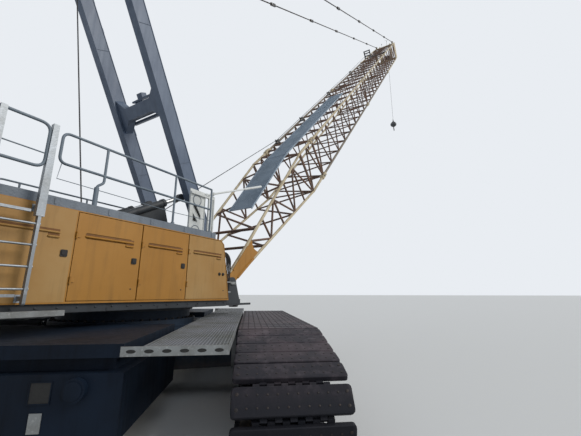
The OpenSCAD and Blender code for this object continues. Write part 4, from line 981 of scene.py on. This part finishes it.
clips = [leg_box(u, u + 0.04, -0.86, -0.76, 0.18, 0.214) for u in (1.1, 1.9, 2.7, 3.5, 4.3)]
guide = [leg_box(*limits) for limits in (
    (5.0, 5.04, -0.68, 0.4, 0.11, 0.2), (4.95, 5.03, -0.66, -0.62, 0.12, 0.19),
    (5.04, 5.16, -0.02, 0.16, 0.11, 0.26), (4.5, 4.56, -0.6, 0.66, 0.12, 0.24))]
guide += [leg_box(4.95, 5.03, y, y + 0.02, 0.12, 0.19) for y in (0.1, 0.19, 0.28)]
piece("leg_flanges", flanges, slate, "a_frame")
piece("leg_pins", pins, slate, "a_frame")
piece("leg_pipes", leg_pipes, black_rubber_and_hole_shade, "a_frame")
piece("leg_clips", clips, bare_zinc, "a_frame")
piece("cross_beam_step", guide, slate, "a_frame")

# ---- Rope sheaves
# Cast steel sheaves with a deep groove, a dished web and a bronze-bushed hub, dark enamel outside and
# polished by the rope in the groove.
sheave_paint = rough_steel("dark enamel on sheaves", "#2a2c2e", "#3a3330", "#6b6b69", 8.0, 0.45, 0.42)


def sheave(centre, r, hub, half=0.03):
    """Hub, dished web and rim with its groove."""
    rim = [(hub, 1.1), (hub + 0.03, 1.1), (hub + 0.035, 0.35), (r - 0.075, 0.35), (r - 0.065, 1),
           (r - 0.004, 1), (r, 0.85), (r - 0.03, 0.3)]
    near = [(a, -h * half) for a, h in rim]
    return turned(near + [(r - 0.036, 0)] + [(a, -h) for a, h in reversed(near)], centre, left, 48)


def bushed_tube(radius, inner, half, centre):
    """The hub that a row of sheaves shares."""
    return turned([(inner, -half), (radius, -half), (radius, half), (inner, half)], centre, left)


mast_sheaves = [sheave(head_pin + 0.15 * k * left, 0.3, 0.1) for k in range(-3, 4)]
mast_sheaves.append(bushed_tube(0.13, 0.0605, 0.53, head_pin))
piece("mast_sheaves", mast_sheaves, sheave_paint, "a_frame_sheaves", "a_frame_sheaves")
tail_pin = Vector((-4.72, 0, 2.36))
tail = [sheave(tail_pin + (0.15 * k + 0.075) * left, 0.25, 0.08) for k in range(-3, 3)]
piece("tail_sheaves", tail + [pin(0.055, -0.84, 0.84, tail_pin, left)], sheave_paint)
seats = []
for side in (-1, 1):
    for y, low in ((0.56, 1.6195), (0.8, 2.148)):
        block = rounded([(-4.9, low), (-4.54, low), (-4.62, 2.46), (-4.82, 2.46)], 0.05)
        seats.append(plate(block, 1, side * y - 0.03, 0.06))
piece("tail_sheave_seats", seats, chassis)

# ---- Luffing ropes
# 26 mm wire rope: one lead from the luffing drum over a guide bar up to the A-frame's head, and the
# reeving between the head sheaves and the tail. Each part runs straight between two bodies.
run = head_pin - tail_pin
across = Vector((run.z, 0, -run.x)).normalized()
tail_groove, head_groove = 0.214, 0.264
falls = []
for k in range(-3, 4):
    for way in (1, -1):
        if way * k > -3:
            falls.append((tail_pin + way * across * tail_groove + (0.15 * k - way * 0.075) * left,
                          head_pin + way * across * head_groove + 0.15 * k * left))
off_guide = Vector((-1.389, -0.45, 2.66))
falls.append((off_guide, head_pin + Vector((head_groove, 0.45, -0.02))))
guide = [tube([(-1.435, -0.59, 2.63), (-1.435, 0.59, 2.63)], 0.028, 14)]
guide += [box((-1.465, y - 0.012, 1.62), (-1.405, y + 0.012, 2.67)) for y in (-0.575, 0.575)]
piece("luffing_rope_guide", guide, chassis)
piece("luffing_rope_off_drum", [tube([(-1.612, -0.42, 2.33), off_guide], rope_r)], wire_rope)
for k, (low, high) in enumerate(falls):
    lay = piece(f"luffing_rope_{k + 1}", [tube([low, high], rope_r)], wire_rope, None)
    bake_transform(lay)

# ---- Boom
# Four pinned sections of steel tube: round chords in cream enamel, faded and rusty at the joints, with
# two chords of each insert in a darker copy of the cream as painted shade, and thinner lacing in a dark
# rust-brown that is painted shade. A grating walkway lies on the rear face of the lower part.
cream = enamel("faded cream enamel on chords", "#a99878", "#c6b99b", "#5a4535", 0.75, 0.85, 0.5)
# Two chords of each insert take a darker, browner copy of the cream: painted shade.
shaded_cream = enamel("cream enamel darkened as painted shade on two chords", "#6f6557", "#85796a", "#3d322a", 0.8, 0.9, 0.6)
# The lacing's dark rust-brown is the lattice's look in shade: painted shade.
lacing_paint = rough_steel("lacing tubes darkened brown as painted shade", "#5b4b43", "#74523f", "#a08d79", 3.5, 0.15, 0.7)
rope_guard = enamel("dark grey enamel on rope guides", "#34383c", "#474c51", "#1c1b1a", 0.5, 0.5, 0.5)
slate_grating = rough_steel("blue-grey galvanised grating", "#93a2b0", "#8392a0", "#b0bdc8", 1.6, 0.1, 0.6)
boom_angle = math.radians(45.1)
boom_along, boom_up = heading(boom_angle), heading(boom_angle + math.pi / 2)
half_wide, half_deep, chord_r, lace_r = 1.15, 0.87, 0.057, 0.035


def on_boom(s, q, y):
    """Point of the boom: s along it from the foot pins, q square to it."""
    return pivot + s * boom_along + q * boom_up + y * left


def boom_bar(a, b, radius=lace_r, sides=8):
    """A tube between two points of the boom."""
    return tube([on_boom(*a), on_boom(*b)], radius, sides)


def boom_box(s0, s1, q0, q1, y0, y1):
    return loft([[on_boom(s, q, y) for q, y in corners(q0, y0, q1, y1)] for s in (s0, s1)])


def boom_plate(outline, y, thick):
    return loft([[on_boom(s, q, y + dy) for s, q in outline] for dy in (-thick / 2, thick / 2)])


def lacing(s0, s1, cells):
    """Zigzag lacing on the four sides of a stretch of boom, with frames at both ends."""
    q, y, step = half_deep, half_wide, (s1 - s0) / cells
    bars = []
    for side in (-1, 1):
        for k in range(cells):
            a, b, flip = s0 + k * step, s0 + (k + 1) * step, 1 if k % 2 else -1
            bars.append(boom_bar((a, flip * q, side * y), (b, -flip * q, side * y)))
            bars.append(boom_bar((a, side * q, flip * y), (b, side * q, -flip * y)))
        for s in (s0 + 0.035, s1 - 0.035):
            bars.append(boom_bar((s, -q, side * y), (s, q, side * y)))
            bars.append(boom_bar((s, side * q, -y), (s, side * q, y)))
    return bars


def chords(s0, s1, which=((-1, -1), (-1, 1), (1, -1), (1, 1))):
    return [boom_bar((s0, q * half_deep, y * half_wide), (s1, q * half_deep, y * half_wide), chord_r, 20)
            for q, y in which]


foot_s, taper_s, insert, head_from, head_straight = 8.0, 6.5, 12, 32.0, 8.5


def half_at(s):
    """Half depth of the tapered foot section."""
    return 0.12 + (s - 0.3) * 0.75 / 6.2


foot_chords, foot_plates, foot_bars = chords(taper_s, foot_s), [], lacing(taper_s, foot_s, 2)
web = [(0, 0.1), (0.3, 0.12), (1.45, half_at(1.45) - 0.02), (1.56, half_at(1.56) - 0.05), (1.5, 0.1),
       (1.47, 0)]
web += [(s, -q) for s, q in web[4::-1]]
rise = math.atan2(0.75, 6.2)
for side in (-1, 1):
    y = side * half_wide
    foot_plates.append(boom_plate(web, y, 0.07))
    foot_plates.append(boom_plate([(0, 0.13), (1.3, 0.2), (1.3, -0.2), (0, -0.13)], y, 0.1))
    for q in (-1, 1):
        rib = [(0.35, q * 0.16), (1.25, q * 0.24), (1.25, q * 0.17), (0.35, q * 0.1)]
        foot_plates.append(boom_plate(rib, y, 0.13))
        foot_chords.append(boom_bar((0.25, q * half_at(0.25), y), (taper_s, q * half_deep, y), 0.047, 20))
    boss = [(0.0603, -0.1), (0.15, -0.1), (0.15, 0.1), (0.0603, 0.1)]
    foot_plates.append(turned(boss, on_boom(0, 0, y), left, 40))
    for k in range(6):
        s, flip = 1.465 + k, -1 if k % 2 else 1
        foot_bars.append(boom_bar((s, -half_at(s), y), (s, half_at(s), y)))
        if k < 5:
            foot_bars.append(boom_bar((s, flip * half_at(s), y), (s + 1, -flip * half_at(s + 1), y)))
    turns = [0.3 + (1.7 + 4.5651 * i / 4) * math.cos(rise) for i in range(5)]
    ends = [(s, side * half_at(s), half_wide * (1 if i % 2 else -1)) for i, s in enumerate(turns)]
    foot_bars += [boom_bar(a, b) for a, b in zip(ends, ends[1:])]
    s = 0.3 + 1.735 * math.cos(rise)
    q = side * half_at(s)
    foot_bars.append(boom_bar((s, q, -half_wide), (s, q, half_wide), 0.045, 12))
piece("boom_foot_chords", foot_chords, cream, "boom", "boom_foot_section")
piece("boom_foot_plates", foot_plates, ochre, "boom", "boom_foot_section")
piece("boom_foot_lacing", foot_bars, lacing_paint, "boom", "boom_foot_section")
for name, s0 in (("lower", foot_s), ("upper", foot_s + insert)):
    for part, parts, paint in (("chords", chords(s0, s0 + insert, ((1, -1), (-1, 1))), cream),
                               ("shaded_chords", chords(s0, s0 + insert, ((1, 1), (-1, -1))), shaded_cream),
                               ("lacing", lacing(s0, s0 + insert, 16), lacing_paint)):
        piece(f"boom_{name}_{part}", parts, paint, "boom", f"boom_insert_{name}")
# A forked coupling at each chord, with its pins, where two sections meet.
forks, fork_pins = [], []
joined = (foot_s, foot_s + insert, head_from)
for s, q, y in ((s, q, y) for s in joined for q in (-1, 1) for y in (-1, 1)):
    q0, y0 = q * half_deep, y * half_wide
    forks += [boom_box(s + a, s + b, q0 - tall, q0 + tall, y0 - wide, y0 + wide) for a, b, wide, tall in (
        (-0.26, -0.1, 0.078, 0.078), (-0.1, 0.1, 0.066, 0.095), (0.1, 0.26, 0.078, 0.078))]
    fork_pins += [turned([(0.03, -0.1), (0.03, 0.1), (0.036, 0.1), (0.036, 0.108)], on_boom(s + ds, q0, y0),
                         y * left, 16) for ds in (-0.045, 0.045)]
piece("boom_couplings", forks, cream, "boom")
piece("boom_coupling_pins", fork_pins, bare_zinc, "boom")
deck_from, deck_to, deck_top = 6.7, 17.0, 0.085
deck = [boom_box(deck_from, deck_to, half_deep + 0.036, half_deep + deck_top, y - 0.015, y + 0.015)
        for y in (-0.465, 0.465)]
deck += [boom_box(s, s + 0.012, half_deep + 0.04, half_deep + 0.084, -0.46, 0.46)
         for s in (6.73 + 0.06 * k for k in range(172))]
deck += [boom_box(deck_from, deck_to, half_deep + 0.074, half_deep + deck_top, y - 0.004, y + 0.004)
         for y in (0.07 * k - 0.42 for k in range(13))]
for s in (3.1 + 0.06 * k for k in range(60)):
    low = half_at(s) + 0.04
    deck.append(boom_box(s, s + 0.012, low, low + 0.044, -0.46, 0.46))
ends = ((3.05, half_at(3.05)), (6.5, half_deep), (6.72, half_deep))
for k in range(15):
    y, (wide, low) = 0.07 * k - 0.49, (0.015, 0.036) if k in (0, 14) else (0.004, 0.074)
    deck.append(loft([[on_boom(s, q + dq, y + dy) for dq, dy in corners(low, -wide, deck_top, wide)]
                      for s, q in ends]))
piece("boom_walkway", deck, slate_grating, "boom", "boom_insert_lower")

# ---- Boom head
# Four cream plates on the last stretch of lattice carry the head sheaves, the stay pins and the hole
# of a jib's pin. Cross boxes tie them. An anemometer and a warning lamp stand on top.
cream_plate = enamel("faded cream enamel on head plates", "#a99878", "#b8ac8e", "#8d7e66", 0.1, 0.4, 0.5)
head = chords(head_from, head_from + head_straight)
jib_hole, jib_r = (head_from + 9.74, half_deep - 0.25), 0.045
stay_s, stay_q, stay_y = head_from + 9.5, 1.02, 0.965


def holed(outline):
    """An outline with the jib pin's hole, joined to it by a slit."""
    outline = [(head_from + s, q) for s, q in outline]
    start = max(range(len(outline)), key=lambda k: outline[k][0])
    a0 = math.atan2(outline[start][1] - jib_hole[1], outline[start][0] - jib_hole[0])
    ring = [(jib_hole[0] + jib_r * math.cos(a0 - a), jib_hole[1] + jib_r * math.sin(a0 - a))
            for a in around(28) + [0]]
    return outline[:start + 1] + ring + outline[start:]


inner_plate = holed([(8.4, -0.87), (10.0, -0.92), (10.15, -0.72), (9.85, 0.97), (8.4, 0.87)])
outer_plate = holed([(8.45, -0.87), (9.6, -0.87), (9.9, 0.87), (8.45, 0.87)])
ear = [(head_from + s, q) for s, q in ((9.25, 0.72), (9.75, 0.72), (9.58, 1.02), (9.555, 1.08), (9.5, 1.1),
                                       (9.445, 1.08), (9.42, 1.02))]
sheave_pin = on_boom(head_from + 9.85, -0.62, 0)
head_pins = [pin(0.055, -0.67, 0.67, sheave_pin, left, 28)]
cap = [(0.055, 0.097), (0.055, 0.085), (0.04, 0.085)]
for side in (-1, 1):
    head.append(boom_plate(inner_plate, side * 0.6, 0.06))
    head.append(boom_plate(outer_plate, side * half_wide, 0.07))
    head += [boom_plate(ear, side * stay_y + face * 0.055, 0.04) for face in (-1, 1)]
    head_pins.append(turned([(0.075, 0.63), (0.075, 0.645), (0.055, 0.65)], sheave_pin, side * left, 28))
    head_pins.append(turned([(r, -h) for r, h in cap] + cap[::-1],
                            on_boom(stay_s, stay_q, side * stay_y), left, 24))
for q, s in ((-0.81, head_from + 9.1), (0.81, head_from + 9.4)):
    head.append(boom_box(s - 0.3, s + 0.3, q - 0.06, q + 0.06, -half_wide, half_wide))
piece("boom_head_plates", head, cream_plate, "boom", "boom_head_section")
bars = lacing(head_from, head_from + head_straight, 12)
piece("boom_head_lacing", bars, lacing_paint, "boom", "boom_head_section")
piece("boom_head_pins", head_pins, bare_zinc, "boom", "boom_head_section")
crown = [sheave(sheave_pin + 0.13 * k * left, 0.33, 0.09) for k in range(-2, 3)]
crown.append(bushed_tube(0.11, 0.0555, 0.37, sheave_pin))
piece("head_sheaves", crown, sheave_paint, "boom_head_sheaves", "boom_head_sheaves")
mast_foot, lamp_foot = on_boom(head_from + 9.3, 0.86, -0.3), on_boom(head_from + 9.3, 0.86, 0.3)
tip, lamp_at = mast_foot + 0.75 * up, lamp_foot + 0.4 * up
fittings = [tube([mast_foot, tip], 0.018), tube([lamp_foot, lamp_at], 0.016),
            turned([(0.04, 0), (0.045, 0.02), (0.045, 0.1), (0.02, 0.13)], lamp_at, up, 20)]
for a in around(3):
    arm = Vector((math.cos(a), math.sin(a), 0))
    fittings.append(tube([tip, tip + 0.14 * arm], 0.006, 6))
    fittings.append(turned([(0.0, -0.035), (0.03, -0.02), (0.04, 0.01), (0.035, 0.012)], tip + 0.14 * arm,
                           up.cross(arm), 12))
piece("boom_head_fittings", fittings, bare_zinc, "boom")

# ---- Hoist rope and its guides
# The rope leaves the rear drum and runs over four guide rollers on the boom's back, each between
# cheeks on a bracket, and under the bars of a tall frame near the top to the head sheaves.
guides = ((9.0, 1.05, 1.0), (12.6, 1.06, 1.0), (18.5, 1.08, 1.0), (26.0, 1.1, 1.0))
brackets, rollers = [], []
for s, q, y in guides:
    cheek = [(s - 0.09, half_deep), (s + 0.09, half_deep), (s + 0.05, q + 0.03), (s - 0.05, q + 0.03)]
    brackets += [boom_plate(cheek, y + dy, 0.014) for dy in (-0.08, 0.08)]
    brackets.append(boom_box(s - 0.03, s + 0.03, half_deep - 0.03, half_deep + 0.03, 0.85, half_wide))
    brackets.append(boom_bar((s, q - 0.05, y - 0.1), (s, q - 0.05, y + 0.1), 0.014, 12))
    rollers.append(turned([(0.05, -0.07), (0.038, -0.055), (0.032, 0), (0.038, 0.055), (0.05, 0.07)],
                          on_boom(s, q - 0.05, y), left, 24))
for y in (0.54, 1.12):
    brackets.append(boom_box(34.24, 34.36, half_deep, 1.66, y - 0.05, y + 0.05))
    brackets.append(boom_plate([(33.9, half_deep), (34.3, half_deep), (34.3, 1.4), (34.22, 1.4)], y, 0.03))
brackets += [boom_box(34.25, 34.35, q - 0.05, q + 0.05, 0.5, 1.16) for q in (1.12, 1.38, 1.6)]
brackets.append(boom_box(34.22, 34.38, half_deep - 0.04, half_deep + 0.04, -half_wide, half_wide))
piece("rope_brackets", brackets, rope_guard, "boom")
piece("rope_rollers", rollers, sheave_paint, "boom")
groove_r = 0.294
rope_run = [on_boom(s, q - 0.05 + 0.045, y) for s, q, y in guides]
drum_off, first = Vector((-0.69, 0.4, 2.6)), rope_run[0]
lead = piece("hoist_rope_lead", [tube([drum_off, first], rope_r)], wire_rope, None)
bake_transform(lead)
rope_run.append(on_boom(34.3, 1.25, 0.9))
rope_run.append(sheave_pin + groove_r * (boom_up * 0.98 + boom_along * 0.2).normalized())
rope_run += [sheave_pin + groove_r * heading(math.radians(123.6) * (1 - k / 5)) for k in range(1, 6)]
piece("hoist_rope_run", [tube(rope_run, rope_r)], wire_rope, "boom")

# ---- Boom stays
# Round steel bars end to end between flat links, from the boom's head to the A-frame's head. Bars and
# links are the CAD's own; the pins that join them are added here.
stay_steel = rough_steel("dark oiled stay bars", "#2e3134", "#43372f", "#6a6c6e", 2.5, 0.6, 0.45)
dress(stay_steel, "stays")
stay_run = on_boom(stay_s, stay_q, 0) - head_pin
cap = [(0.04, 0.062), (0.04, 0.05), (0.028, 0.05)]
stay_pins = [turned([(r, -h) for r, h in cap] + cap[::-1],
                    head_pin + stay_run * k / 7 + side * stay_y * left + stay_run.normalized() * ds, left, 16)
             for side in (-1, 1) for k in range(1, 7) for ds in (-0.17, 0.17)]
piece("stay_pins", stay_pins, bare_zinc, "boom")

# ---- Hook
# A cast ball on the hoist rope's end with a socket and wedge above it, and below it a swivel and a
# forged hook with a spring latch. Dark enamel, rubbed bare and rusty on the ball's belly.
hook_paint = enamel("dark enamel on the hook ball", "#33353a", "#474a4e", "#241f1b", 0.4, 0.8, 0.5)
fall_top = sheave_pin + Vector((0.3443, 0, 0))
ball = fall_top - 9.0 * up
shell = [(0.02, 0.3), (0.055, 0.3), (0.06, 0.26), (0.085, 0.17), (0.13, 0.1), (0.21, 0.03), (0.29, -0.05),
         (0.335, -0.13), (0.35, -0.225), (0.335, -0.32), (0.29, -0.39), (0.21, -0.46), (0.13, -0.52),
         (0.09, -0.54), (0.06, -0.56), (0.06, -0.6)]
piece("hook_ball", [turned(shell, ball, up, 48)], hook_paint, "hook", "hook")
swivel = [turned([(0.348, -0.24), (0.3535, -0.236), (0.3535, -0.214), (0.348, -0.21)], ball, up, 48),
          turned([(0.045, -0.6), (0.062, -0.6), (0.062, -0.66), (0.055, -0.67), (0.055, -0.7), (0.04, -0.71)],
                 ball, up), box(ball + Vector((-0.045, -0.045, -0.76)), ball + Vector((0.045, 0.045, -0.69)))]
for a in around(6):
    out = Vector((math.cos(a), math.sin(a), 0))
    swivel.append(pin(0.016, 0, 0.014, ball + 0.18 * out + 0.05 * up, 0.6 * out + 0.8 * up, 6))
piece("hook_swivel", swivel, bare_zinc, "hook", "hook")
centre = ball - 0.88 * up
rings = []
for k in range(29):
    out = heading(math.radians(100 - 285 * k / 28))
    grow = 0.36 + 0.64 * math.sin(math.pi * min(1.0, (k + 5) / 27)) ** 0.7
    rings.append([centre + out * (0.1525 + 0.046 * grow * math.cos(t)) + 0.044 * grow * math.sin(t) * left
                  for t in around(14)])
spring = tube([centre + Vector((-0.03, 0, 0.15)), centre + Vector((-0.125, 0, 0.04))], 0.012, 8)
piece("hook_forging", [loft(rings), spring], hook_paint, "hook", "hook")
fall = tube([ball + 0.28 * up, fall_top], rope_r)
piece("hoist_rope_fall", [fall], wire_rope, "hook", "hook")
socket = turned([(0.03, 0.28), (0.05, 0.3), (0.05, 0.4), (0.028, 0.52), (0.016, 0.55)], ball, up, 20)
piece("rope_socket", [socket], bare_zinc, "hook", "hook")

low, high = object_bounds()
